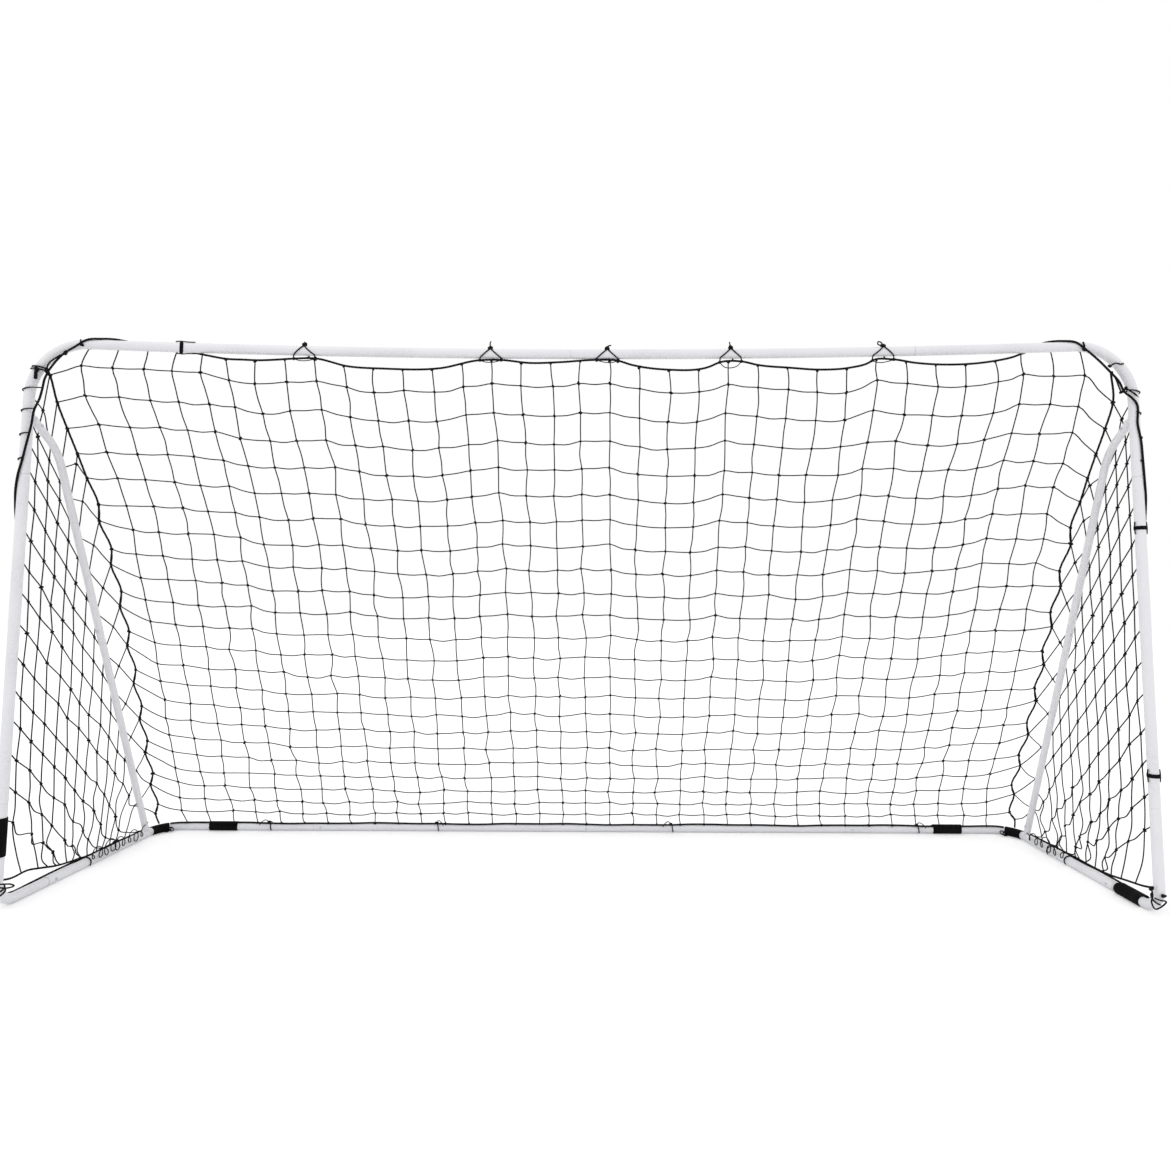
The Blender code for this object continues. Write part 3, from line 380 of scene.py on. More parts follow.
def put(name: str, mesh: Mesh, finish: Material,
        nodes: Sequence[str] = (), body: str = "frame") -> Object:
    """Puts a finished piece into the scene and onto its body.

    Args:
        name: Name of the piece.
        mesh: Its mesh, in place.
        finish: Its material.
        nodes: Frame nodes that it stands for.
        body: The body that it rides on.

    Returns:
        The object.
    """
    mesh.materials.clear()
    mesh.materials.append(finish)
    piece = new_object(name, mesh)
    if nodes:
        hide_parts(*nodes)
    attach(piece, body)
    LOG.info("%s: %d faces", name, len(mesh.polygons))
    return piece


# ---- Finishes


class Nodes:
    """Adds nodes to one tree and links them."""

    def __init__(self, tree: Tree) -> None:
        """Keeps the tree that the nodes go into."""
        self.tree = tree

    def add(self, kind: str, values: Optional[dict] = None, **settings: object) -> Node:
        """Adds a node, sets its properties and fills or links its inputs.

        Args:
            kind: The node's type.
            values: Input name or number to a value or to another node's output.
            settings: Properties of the node.

        Returns:
            The node.
        """
        made = self.tree.nodes.new(kind)
        for name, value in settings.items():
            setattr(made, name, value)
        self.feed(made, values or {})
        return made

    def feed(self, node: Node, values: dict) -> None:
        """Fills or links a node's inputs, given by name or number."""
        for key, value in values.items():
            if isinstance(value, Socket):
                self.tree.links.new(value, node.inputs[key])
            else:
                node.inputs[key].default_value = value

    def maths(self, operation: str, *values: object) -> Socket:
        """Result of a Math node on up to three values or sockets."""
        made = self.add("ShaderNodeMath", dict(enumerate(values)), operation=operation)
        return made.outputs[0]

    def blend(self, share: object, one: object, two: object) -> Socket:
        """A colour between two colours."""
        made = self.add("ShaderNodeMix", {0: share, 6: one, 7: two}, data_type="RGBA")
        return made.outputs[2]

    def noise(self, vector: object, scale: object, detail: float = 2.0) -> Socket:
        """Value of a noise texture."""
        made = self.add("ShaderNodeTexNoise", {"Vector": vector, "Scale": scale, "Detail": detail})
        return made.outputs["Fac"]

    def ramp(self, value: object, low: float, high: float, out: Pair = (0.0, 1.0)) -> Socket:
        """A value stretched from one range to another and held inside it."""
        made = self.add("ShaderNodeMapRange", {0: value, 1: low, 2: high, 3: out[0], 4: out[1]})
        return made.outputs[0]


def new_group(name: str, inputs: dict, outputs: Sequence[str]) -> tuple:
    """A node group whose named sockets are all plain values.

    Args:
        name: Name of the group.
        inputs: Name and usual value of each input.
        outputs: Names of the outputs.

    Returns:
        The group, its node helper, its input node and its output node.
    """
    group = bpy.data.node_groups.new(name, "ShaderNodeTree")
    sockets = [(label, "INPUT") for label in inputs] + [(label, "OUTPUT") for label in outputs]
    for label, way in sockets:
        made = group.interface.new_socket(name=label, in_out=way, socket_type="NodeSocketFloat")
        if label in inputs:
            made.default_value = inputs[label]
    nodes = Nodes(group)
    return group, nodes, nodes.add("NodeGroupInput"), nodes.add("NodeGroupOutput")


def dust_group() -> Tree:
    """Dust and rubbed spots: soft patches with fine grain in them, from object coordinates."""
    usual = {"Patch": 7.0, "Grain": 180.0}
    group, nodes, given, out = new_group("settled_dust", usual, ("Dust", "Rub"))
    place = nodes.add("ShaderNodeTexCoord").outputs["Object"]
    patch = nodes.noise(place, given.outputs["Patch"], 3.0)
    grain = nodes.noise(place, given.outputs["Grain"])
    soft = nodes.ramp(patch, 0.45, 0.75)
    fine = nodes.ramp(grain, 0.35, 0.7)
    marks = nodes.ramp(patch, 0.62, 0.72)
    dust, rub = (nodes.maths("MULTIPLY", part, fine) for part in (soft, marks))
    nodes.feed(out, {"Dust": dust, "Rub": rub})
    return group


def plait_group() -> Tree:
    """Plait of a cord: two sets of ridges that cross as they wind, from the cord's own map.

    The height is the larger of |sin pi (k u + v / p)| and |sin pi (k u - v / p)|, with u one turn,
    v metres along, k the ridges and p the pitch. The second output is high where the plait is low; it
    masks painted shade in the grooves.
    """
    usual = {"Ridges": 4.0, "Pitch": 0.01}
    group, nodes, given, out = new_group("cord_plait", usual, ("Height", "Groove"))
    place = nodes.add("ShaderNodeUVMap", uv_map="finish").outputs["UV"]
    parts = nodes.add("ShaderNodeSeparateXYZ", {0: place})
    turn = nodes.maths("MULTIPLY", parts.outputs["X"], given.outputs["Ridges"])
    along = nodes.maths("DIVIDE", parts.outputs["Y"], given.outputs["Pitch"])
    heights = []
    for operation in ("ADD", "SUBTRACT"):
        angle = nodes.maths("MULTIPLY", nodes.maths(operation, turn, along), math.pi)
        heights.append(nodes.maths("ABSOLUTE", nodes.maths("SINE", angle)))
    height = nodes.maths("MAXIMUM", *heights)
    # The second output masks painted shade: high where the plait is low, between the ridges.
    nodes.feed(out, {"Height": height, "Groove": nodes.ramp(height, 0.95, 0.55)})
    return group


def weave_group() -> Tree:
    """Weave of a band: warp and weft threads that pass over and under, from the band's own map."""
    group, nodes, given, out = new_group("band_weave", {"Thread": 0.0012}, ("Height", "Fuzz"))
    place = nodes.add("ShaderNodeUVMap", uv_map="finish").outputs["UV"]
    parts = nodes.add("ShaderNodeSeparateXYZ", {0: place})
    waves = []
    for axis in ("X", "Y"):
        ratio = nodes.maths("DIVIDE", parts.outputs[axis], given.outputs["Thread"])
        waves.append(nodes.maths("SINE", nodes.maths("MULTIPLY", ratio, math.pi)))
    cross = nodes.maths("MULTIPLY", *waves)
    fuzz = nodes.noise(place, 1400.0, 3.0)
    height = nodes.maths("ADD", nodes.maths("ABSOLUTE", cross), fuzz)
    nodes.feed(out, {"Height": height, "Fuzz": nodes.ramp(fuzz, 0.4, 0.7)})
    return group


@dataclass(frozen=True)
class Finishes:
    """All finishes of the goal, built once."""

    coat: Material
    steel: Material
    rope: Material
    strand: Material
    fabric: Material


@dataclass
class Painter:
    """Builds the finishes from a few shared node groups."""

    coat_colour: tuple = (0.80, 0.80, 0.83, 1.0)
    coat_dust: tuple = (0.66, 0.66, 0.70, 1.0)
    coat_rough: float = 0.34
    peel: float = 620.0
    peel_height: float = 0.00018
    cord_colour: tuple = (0.0055, 0.0055, 0.006, 1.0)
    cord_worn: tuple = (0.016, 0.0155, 0.015, 1.0)
    # Painted shade: the darker colour that the cord's grooves take.
    cord_groove: tuple = (0.004, 0.004, 0.0045, 1.0)
    steel_colour: tuple = (0.62, 0.63, 0.65, 1.0)
    steel_dull: tuple = (0.40, 0.40, 0.41, 1.0)
    weave_colour: tuple = (0.0030, 0.0030, 0.0034, 1.0)
    weave_fuzz: tuple = (0.0075, 0.0075, 0.008, 1.0)
    weave_dust: tuple = (0.018, 0.0175, 0.017, 1.0)
    groups: dict = field(default_factory=dict)

    def build(self) -> Finishes:
        """Builds the shared groups and every finish."""
        self.groups = {"dust": dust_group(), "plait": plait_group(), "weave": weave_group()}
        return Finishes(
            coat=self.coat(),
            steel=self.steel(),
            rope=self.cord("braided_rope", 5.0, 0.011, 0.0006),
            strand=self.cord("twisted_strand", 3.0, 0.007, 0.0003),
            fabric=self.fabric(),
        )

    def start(self, name: str) -> tuple:
        """A new material with its node helper and its Principled shader.

        Args:
            name: Name of the material.

        Returns:
            The material, the helper and the shader node.
        """
        made = bpy.data.materials.new(name)
        made.use_nodes = True
        return made, Nodes(made.node_tree), made.node_tree.nodes["Principled BSDF"]

    def placed(self, nodes: Nodes, group: str, **values: float) -> Node:
        """Places a shared group in a material, with its own values."""
        return nodes.add("ShaderNodeGroup", values, node_tree=self.groups[group])

    def bump(self, nodes: Nodes, shader: Node, height: object, distance: float) -> None:
        """Feeds a height to the shader's normal."""
        made = nodes.add("ShaderNodeBump", {"Height": height, "Distance": distance, "Strength": 1.0})
        nodes.feed(shader, {"Normal": made.outputs["Normal"]})

    def coat(self) -> Material:
        """White powder coat: orange peel, a little settled dust and rubbed spots."""
        made, nodes, shader = self.start("white_powder_coat")
        dust = self.placed(nodes, "dust", Patch=5.0, Grain=140.0)
        place = nodes.add("ShaderNodeTexCoord").outputs["Object"]
        colour = nodes.blend(dust.outputs["Dust"], self.coat_colour, self.coat_dust)
        rough = nodes.ramp(dust.outputs["Rub"], 0.0, 1.0, (self.coat_rough, 0.5))
        nodes.feed(shader, {
            "Base Color": colour, "Roughness": rough, "Coat Weight": 0.15, "Coat Roughness": 0.2})
        self.bump(nodes, shader, nodes.noise(place, self.peel, 1.0), self.peel_height)
        return made

    def steel(self) -> Material:
        """Zinc-plated steel: faint brushing and dull spots."""
        made, nodes, shader = self.start("zinc_steel")
        dust = self.placed(nodes, "dust", Patch=60.0, Grain=900.0)
        place = nodes.add("ShaderNodeTexCoord").outputs["Object"]
        grain = nodes.noise(place, 1600.0, 2.0)
        colour = nodes.blend(dust.outputs["Dust"], self.steel_colour, self.steel_dull)
        rough = nodes.ramp(grain, 0.3, 0.7, (0.24, 0.42))
        nodes.feed(shader, {"Base Color": colour, "Roughness": rough, "Metallic": 1.0})
        self.bump(nodes, shader, grain, 0.0001)
        return made

    def cord(self, name: str, ridges: float, pitch: float, distance: float) -> Material:
        """Black plaited cord: ridges, painted shade in the grooves and a dusting of lint.

        Args:
            name: Name of the material.
            ridges: Ridges round the cord.
            pitch: Length of one plait.
            distance: Height of the ridges.

        Returns:
            The material.
        """
        made, nodes, shader = self.start(name)
        plait = self.placed(nodes, "plait", Ridges=ridges, Pitch=pitch)
        dust = self.placed(nodes, "dust", Patch=14.0, Grain=420.0)
        worn = nodes.blend(dust.outputs["Dust"], self.cord_colour, self.cord_worn)
        # Painted shade: the grooves between the ridges are darkened.
        colour = nodes.blend(plait.outputs["Groove"], worn, self.cord_groove)
        rough = nodes.ramp(dust.outputs["Dust"], 0.0, 1.0, (0.72, 0.92))
        nodes.feed(shader, {"Base Color": colour, "Roughness": rough, "Specular IOR Level": 0.12})
        self.bump(nodes, shader, plait.outputs["Height"], distance)
        return made

    def fabric(self) -> Material:
        """Hook-and-loop fabric: a close weave with fuzz on it."""
        made, nodes, shader = self.start("hook_and_loop_fabric")
        weave = self.placed(nodes, "weave", Thread=0.0014)
        dust = self.placed(nodes, "dust", Patch=20.0, Grain=700.0)
        base = nodes.blend(weave.outputs["Fuzz"], self.weave_colour, self.weave_fuzz)
        colour = nodes.blend(dust.outputs["Dust"], base, self.weave_dust)
        rough = nodes.ramp(weave.outputs["Fuzz"], 0.0, 1.0, (0.8, 0.95))
        nodes.feed(shader, {"Base Color": colour, "Roughness": rough, "Specular IOR Level": 0.08})
        self.bump(nodes, shader, weave.outputs["Height"], 0.0005)
        return made


# ---- Places on the frame


def bar_height(x: Array) -> Array:
    """Height of the crossbar's centre line, which droops as a parabola between its bends."""
    return TOP_Z - CROSSBAR_DROOP * np.clip(1.0 - (np.asarray(x, float) / BEND_X) ** 2, 0.0, 1.0)


def bar_line(first: float, last: float, step: float = 0.04) -> Array:
    """Points of the crossbar's centre line between two places."""
    x = np.linspace(first, last, math.ceil(abs(last - first) / step) + 1)
    return np.stack((x, np.full_like(x, FRONT_Y), bar_height(x)), -1)


def bar_round(x: float, turn: float = 0.0, reach: float = 0.0) -> Array:
    """A point beside the crossbar: 0 degrees is behind it, 90 above, 180 in front, 270 below."""
    angle = math.radians(turn)
    height = float(bar_height(x)) + reach * math.sin(angle)
    return np.array((x, FRONT_Y + reach * math.cos(angle), height))


def post_round(side: Side, height: float, turn: float = 0.0, reach: float = 0.0) -> Array:
    """A point beside a post: 0 degrees is its outer side, 90 behind it and -90 in front."""
    angle = math.radians(turn)
    across = side.value * (SIDE_X + reach * math.cos(angle))
    return np.array((across, FRONT_Y + reach * math.sin(angle), height))


def rear_round(x: float, turn: float = 0.0, reach: float = 0.0) -> Array:
    """A point beside the rear bar: 0 degrees is behind it and 90 above."""
    angle = math.radians(turn)
    return np.array((x, REAR_Y + reach * math.cos(angle), GROUND_Z + reach * math.sin(angle)))


def side_round(side: Side, y: float, turn: float = 0.0, reach: float = 0.0) -> Array:
    """A point beside a side bar: 0 degrees is outwards and 90 above."""
    angle = math.radians(turn)
    across = side.value * (SIDE_X + reach * math.cos(angle))
    return np.array((across, y, GROUND_Z + reach * math.sin(angle)))


def foot_centre(side: Side) -> Array:
    """Middle of the foot's bend between a post and its side bar."""
    return np.array((side.value * SIDE_X, FRONT_Y + FOOT_BEND, GROUND_Z + FOOT_BEND))


def corner_centre(side: Side) -> Array:
    """Middle of the bend between a side bar and the rear bar."""
    return np.array((side.value * CORNER_X, CORNER_Y, GROUND_Z))


def from_front(points: Iterable[Point]) -> list[Array]:
    """Chosen points whose depth is counted from the posts' centre lines."""
    return [np.array((x, FRONT_Y + y, z)) for x, y, z in points]


def brace_up() -> Array:
    """Direction of a brace's straight run, up and forwards."""
    return np.array((0.0, -math.sin(BRACE_LEAN), math.cos(BRACE_LEAN)))


def stub_out() -> Array:
    """Direction of the short tube behind a post, back and downwards."""
    return np.array((0.0, math.cos(STUB_SLOPE), -math.sin(STUB_SLOPE)))


# ---- Frame tubes and buttons


@dataclass(frozen=True)
class Stock:
    """One size of round steel tube."""

    radius: float
    wall: float

    @property
    def insert(self) -> float:
        """Radius of a narrowed end, which slides into the same tube."""
        return self.radius - self.wall - FIT

    def profile(self, length: float, start: End, end: End) -> Tuple[Array, Array]:
        """Outer radius along a tube: narrowed ends widen as (1 - cos) / 2 over the shoulder.

        Args:
            length: Length of the tube.
            start: How it begins.
            end: How it ends.

        Returns:
            Distances along the tube and the radius at each.
        """
        def half(kind: End) -> Tuple[Array, Array]:
            """One end, counted from its tip."""
            if kind is End.PLAIN:
                return np.array((0.0, RIM)), np.array((self.radius - RIM, self.radius))
            share = np.linspace(0.0, 1.0, 6)
            wide = self.insert + (self.radius - self.insert) * (1 - np.cos(math.pi * share)) / 2
            place = INSERT + SWAGE * share
            tip = (self.insert - RIM, self.insert)
            return np.concatenate(((0.0, RIM), place)), np.concatenate((tip, wide))

        near, far = half(start), half(end)
        places = np.concatenate((near[0], length - far[0][::-1]))
        return places, np.concatenate((near[1], far[1][::-1]))


TUBE = Stock(TUBE_RADIUS, 0.0015)
BRACE_TUBE = Stock(0.0125, 0.0012)


def stub_start() -> float:
    """Distance from the post's centre line at which the brace's end clears the post."""
    return (TUBE.radius + FIT + BRACE_TUBE.radius * math.sin(STUB_SLOPE)) / math.cos(STUB_SLOPE)


def foot_start() -> float:
    """Distance from the side bar's centre line at which the brace's end clears the bar."""
    return (TUBE.radius + FIT + BRACE_TUBE.radius * math.sin(BRACE_LEAN)) / math.cos(BRACE_LEAN)


@dataclass(frozen=True)
class Joint:
    """One snap-button joint: its place, the way the inner tube enters and where the button looks."""

    label: str
    place: Array
    entry: Array
    normal: Array
    stock: Stock
    pieces: Tuple[str, str]

    def matrix(self) -> Matrix:
        """Turns +X to the inner tube's entry and +Z to the button's outward normal."""
        cross = np.cross(self.normal, self.entry)
        made = Matrix(np.column_stack((self.entry, cross, self.normal)).tolist()).to_4x4()
        made.translation = self.place.tolist()
        return made

    def leaf_top(self) -> float:
        """Height at which the leaf's edges lie against the inner tube's bore."""
        bore = self.stock.radius - 2 * self.stock.wall - FIT
        return math.sqrt(bore**2 - (Buttons.leaf_width / 2) ** 2) - FIT


def all_joints() -> list[Joint]:
    """Every snap-button joint of the frame."""
    found = []
    for x, label in ((-BAR_BUTTON_X, "left"), (0.0, "centre"), (BAR_BUTTON_X, "right")):
        for kind, corner, bar, normal in (("crossbar", "top_corner", "crossbar", Y_AXIS),
                                          ("rear", "rear_corner", "rear_bar", -Y_AXIS)):
            pieces = (f"{corner}_{label}", f"{bar}_{label}")
            if label == "centre":
                pieces = (f"{bar}_left", f"{bar}_right")
            place = bar_round(x) if kind == "crossbar" else rear_round(x)
            found.append(Joint(f"{kind}_{label}", place, X_AXIS, normal, TUBE, pieces))
    for side in Side:
        inward, end = X_AXIS * -side.value, side.label
        brace_foot = side_round(side, BRACE_FOOT_Y)
        stub = post_round(side, STUB_HEIGHT) + stub_out() * (stub_start() + SETBACK)
        face = np.array((0.0, -math.cos(BRACE_LEAN), -math.sin(BRACE_LEAN)))
        top, bottom = (post_round(side, seam + SETBACK) for seam in (POST_TOP_SEAM, POST_FOOT_SEAM))
        beside = side_round(side, FRONT_Y + SIDE_SEAM + SETBACK)
        middle = brace_foot + brace_up() * (BRACE_SEAM + SETBACK)
        low = brace_foot + brace_up() * (foot_start() + SETBACK)
        rows = (
            ("post_top", top, Z_AXIS, Y_AXIS, TUBE, "top_corner", "post"),
            ("post_foot", bottom, Z_AXIS, Y_AXIS, TUBE, "post", "foot_bend"),
            ("side", beside, Y_AXIS, inward, TUBE, "rear_corner", "foot_bend"),
            ("brace_top", stub, stub_out(), inward, BRACE_TUBE, "top_corner", "brace_upper"),
            ("brace_middle", middle, brace_up(), face, BRACE_TUBE, "brace_upper", "brace_lower"),
            ("brace_foot", low, brace_up(), inward, BRACE_TUBE, "rear_corner", "brace_lower"),
        )
        for kind, place, entry, normal, stock, one, two in rows:
            pieces = (f"{one}_{end}", f"{two}_{end}")
            found.append(Joint(f"{kind}_{end}", place, entry, normal, stock, pieces))
    return found


def turned(shell: Shell, profile: Sequence[Pair], count: int) -> None:
    """Adds a turned solid round the Z axis; its profile of (radius, height) runs upwards.

    Args:
        shell: Where it goes.
        profile: Radius and height of each ring, without the poles.
        count: Points on a ring.
    """
    radii, heights = np.array(profile).T
    angle = np.linspace(0.0, math.tau, count, endpoint=False)
    ring = np.stack((np.cos(angle), np.sin(angle), np.zeros(count)), -1)
    rings = radii[:, None, None] * ring + heights[:, None, None] * Z_AXIS
    shell.sweep(rings, heights)


@dataclass
class Buttons:
    """Snap buttons, each with its leaf spring."""

    head: float = 0.004
    proud: float = 0.004
    crown: float = 0.0015
    leaf_width: float = 0.008
    leaf_thickness: float = 0.0008
    leaf_nose: float = 0.006
    leaf_tail: float = 0.036
    leaf_bow: float = 0.0014
    sides: int = 28

    def hole(self, joint: Joint) -> Object:
        """A cutter for the button's hole, through both walls on one side.

        Args:
            joint: The joint whose tubes are drilled.

        Returns:
            The cutter, placed.
        """
        shell = Shell()
        reach = self.head + FIT
        low, high = joint.leaf_top() / 2, joint.stock.radius + self.proud
        turned(shell, ((reach, low), (reach, high)), self.sides)
        mesh = shell.mesh("hole")
        mesh.transform(joint.matrix())
        return new_object("hole", mesh)

    def head_profile(self, joint: Joint) -> list[Pair]:
        """Radius and height of the stem and its domed head, from the leaf upwards."""
        top = joint.stock.radius + self.proud
        root = joint.leaf_top() - self.leaf_thickness / 2
        angle = np.radians((0.0, 20.0, 40.0, 60.0, 78.0))
        dome = [(self.head - self.crown * (1 - math.cos(a)), top - self.crown * (1 - math.sin(a)))
                for a in angle]
        edge = self.head - self.crown
        cap = [(share * edge, top + 0.0003 * (1 - share**2)) for share in (0.75, 0.4)]
        return [(self.head, root), *dome, *cap]

    def leaf(self, shell: Shell, joint: Joint) -> None:
        """The leaf spring: a strip whose tail bows away from the bore as the square of its length."""
        along = np.linspace(-self.leaf_nose, self.leaf_tail, 22)
        tail = np.clip(along / self.leaf_tail, 0.0, 1.0)
        top = joint.leaf_top() - self.leaf_bow * np.sin(math.pi * tail) ** 2
        half, thick, rim = self.leaf_width / 2, self.leaf_thickness, 0.0002
        section = np.array(((half, -rim), (half - rim, 0), (rim - half, 0), (-half, -rim),
                            (-half, rim - thick), (rim - half, -thick), (half - rim, -thick),
                            (half, rim - thick)))
        rings = np.empty((len(along), len(section), 3))
        rings[..., 0] = along[:, None]
        rings[..., 1] = section[:, 0]
        rings[..., 2] = section[:, 1] + top[:, None]
        shell.sweep(rings, along)

    def build(self, joints: Sequence[Joint], finishes: Finishes) -> None:
        """Builds every button on its own body.

        Args:
            joints: The frame's joints.
            finishes: The goal's finishes.
        """
        for joint in joints:
            shell = Shell()
            turned(shell, self.head_profile(joint), self.sides)
            self.leaf(shell, joint)
            mesh = shell.mesh("button", 50.0)
            mesh.transform(joint.matrix())
            put(f"button_{joint.label}_dressed", mesh, finishes.steel,
                [f"snap_button_{joint.label}"], f"button_{joint.label}")


@dataclass
class TubeFrame:
    """The sixteen tubes of the frame, with swaged ends, welded stubs and drilled holes."""

    sides: int = 48
    stub_slot: float = 0.02
    bead: float = 0.0021
    bead_points: int = 96

    def pipe(self, points: Array, stock: Stock, start: End, end: End) -> Shell:
        """A hollow tube: rings run along its outside and back through its bore.

        Args:
            points: Its centre line.
            stock: Its size.
            start: How it begins.
            end: How it ends.

        Returns:
            The tube, closed round both rims.
        """
        track = Track(points)
        places, radii = stock.profile(track.length, start, end)
        stops = np.unique(np.concatenate((track.lengths, places)).round(6))
        keep = np.concatenate(([True], np.diff(stops) > 0.00015))
        stops = stops[keep]
        outer = np.interp(stops, places, radii)
        inner = outer - stock.wall
        inner[[0, -1]] += 2 * RIM
        around = np.concatenate((stops, stops[::-1]))
        rings = track.rings(around, np.concatenate((outer, inner[::-1])), self.sides)
        walked = np.concatenate((around, around[:1]))
        shell = Shell()
        shell.sweep(rings, walked, loop=True)
        return shell

    def meeting(self, base: Array, direction: Array, along: Array, reach: float,
                radius: float, count: int) -> Tuple[Array, Array]:
        """Curve where a round bar of one radius leaves a tube of another.

        A bar point is base + s d + r e. Its distance from the tube's axis is the tube's radius R
        where s = (sqrt((r d.e)^2 - d.d (r^2 e.e - R^2)) - r d.e) / d.d, with d and e taken square
        to the tube's axis.

        Args:
            base: Where the two axes cross.
            direction: Direction of the bar.
            along: Direction of the tube.
            reach: Radius of the tube's surface.
            radius: Radius of the bar.
            count: Points on the curve.

        Returns:
            The points and their distances along the bar.
        """
        side = unit(np.cross(direction, along))
        up = np.cross(direction, side)
        angle = np.linspace(0.0, math.tau, count, endpoint=False)[:, None]
        spoke = np.cos(angle) * side + np.sin(angle) * up
        d = direction - along * direction.dot(along)
        e = spoke - along * (spoke @ along)[:, None]
        de, dd, ee = radius * (e @ d), d.dot(d), radius**2 * np.sum(e * e, axis=1)
        s = (np.sqrt(de**2 - dd * (ee - reach**2)) - de) / dd
        return base + s[:, None] * direction + radius * spoke, s

    def stub(self, base: Array, direction: Array, along: Array, length: float) -> Shell:
        """A short spigot welded to a tube, bored from its far end.

        Args:
            base: Where it meets the tube's centre line.
            direction: Where it points.
            along: Direction of the tube.
            length: Its length from the centre line.

        Returns:
            The spigot, whose foot follows the tube's surface.
        """
        radius, count = BRACE_TUBE.insert, 40
        foot, reach = self.meeting(base, direction, along, TUBE.radius - TUBE.wall / 2, radius, count)
        ring = foot - base - direction * reach[:, None]
        bore = ring * (1 - BRACE_TUBE.wall / radius)
        slim = ring * (1 - RIM / radius)
        tip = base + direction * length
        floor = base + direction * (TUBE.radius + self.stub_slot)
        back = tip - direction * RIM
        rim = tip + bore * (1 + RIM / radius)
        rings = np.stack((foot, back + ring, tip + slim, rim, back + bore, floor + bore))
        shell = Shell()
        shell.sweep(rings, np.array((0.0, length, length, length, length, 0.0)))
        return shell

    def weld(self, base: Array, direction: Array, along: Array) -> Shell:
        """A rippled weld bead round a stub's foot.

        Args:
            base: Where the stub meets the tube's centre line.
            direction: Where the stub points.
            along: Direction of the tube.

        Returns:
            The bead, a closed ring whose thickness ripples as it goes round.
        """
        curve, _ = self.meeting(base, direction, along, TUBE.radius, BRACE_TUBE.insert + 0.0006,
                                self.bead_points)
        track = Track(curve, loop=True)
        lengths = np.concatenate((track.lengths, [track.length + np.linalg.norm(curve[0] - curve[-1])]))
        ripple = self.bead * (1.0 + 0.10 * np.sin(np.arange(self.bead_points) * math.tau / 6))
        shell = Shell()
        shell.sweep(track.rings(track.lengths, ripple, 10), lengths, loop=True)
        return shell

    def drilled(self, mesh: Mesh, cutters: Sequence[Object]) -> Mesh:
        """The mesh with its holes cut.

        Args:
            mesh: A closed tube.
            cutters: The holes' cutters, which are removed afterwards.

        Returns:
            The cut mesh.
        """
        item = new_object("drilled", mesh)
        for cutter in cutters:
            cut = item.modifiers.new("hole", "BOOLEAN")
            cut.operation = "DIFFERENCE"
            cut.solver = "EXACT"
            cut.object = cutter
        evaluated = item.evaluated_get(bpy.context.evaluated_depsgraph_get())
        made = bpy.data.meshes.new_from_object(evaluated)
        for done in (item, *cutters):
            bpy.data.objects.remove(done, do_unlink=True)
        return made

    def routes(self) -> dict:
        """Centre line, stock and ends of each tube, by its node's name."""
        found = {}
        seams = [x - SETBACK for x in (-BAR_BUTTON_X, 0.0, BAR_BUTTON_X)]
        rear = [rear_round(x) for x in seams]
        plain, narrow = End.PLAIN, End.NARROWED
        clear, tip = X_AXIS * FIT, X_AXIS * INSERT
        for side in Side:
            out, label = X_AXIS * side.value, side.label
            centre = np.array((side.value * BEND_X, FRONT_Y, BEND_Z))
            top = arc(centre, out, Z_AXIS, TOP_BEND, 0.0, math.pi / 2)
            corner = arc(corner_centre(side), out, Y_AXIS, REAR_BEND, 0.0, math.pi / 2)
            inner = seams[0] + INSERT if side is Side.LEFT else seams[2] + FIT
            head = bar_line(side.value * BEND_X, inner)[1:]
            tail = rear_round(inner)[None]
            last = narrow if side is Side.LEFT else plain
            start = post_round(side, POST_TOP_SEAM + FIT)[None]
            found[f"top_corner_{label}"] = (np.vstack((start, top, head)), TUBE, plain, last)
            start = side_round(side, FRONT_Y + SIDE_SEAM + FIT)[None]
            found[f"rear_corner_{label}"] = (np.vstack((start, corner, tail)), TUBE, plain, last)
            tips = (POST_FOOT_SEAM + FIT, POST_TOP_SEAM + INSERT)
            post = np.stack([post_round(side, z) for z in tips])
            found[f"post_{label}"] = (post, TUBE, plain, narrow)
            bend = arc(foot_centre(side), -Y_AXIS, -Z_AXIS, FOOT_BEND, 0.0, math.pi / 2, 20)
            start = post_round(side, POST_FOOT_SEAM + INSERT)[None]
            end = side_round(side, FRONT_Y + SIDE_SEAM + INSERT)[None]
            found[f"foot_bend_{label}"] = (np.vstack((start, bend, end)), TUBE, narrow, narrow)
            found[f"brace_upper_{label}"] = (self.upper_brace(side), BRACE_TUBE, plain, plain)
            foot = side_round(side, BRACE_FOOT_Y)
            ends = [foot + brace_up() * reach for reach in (foot_start(), BRACE_SEAM + INSERT)]
            found[f"brace_lower_{label}"] = (np.stack(ends), BRACE_TUBE, plain, narrow)
        for label, first, last in (("left", 0, 1), ("right", 1, 2)):
            line = bar_line(seams[first] + FIT, seams[last] + INSERT)
            found[f"crossbar_{label}"] = (line, TUBE, plain, narrow)
            line = np.stack((rear[first] + clear, rear[last] + tip))
            found[f"rear_bar_{label}"] = (line, TUBE, plain, narrow)
        return found

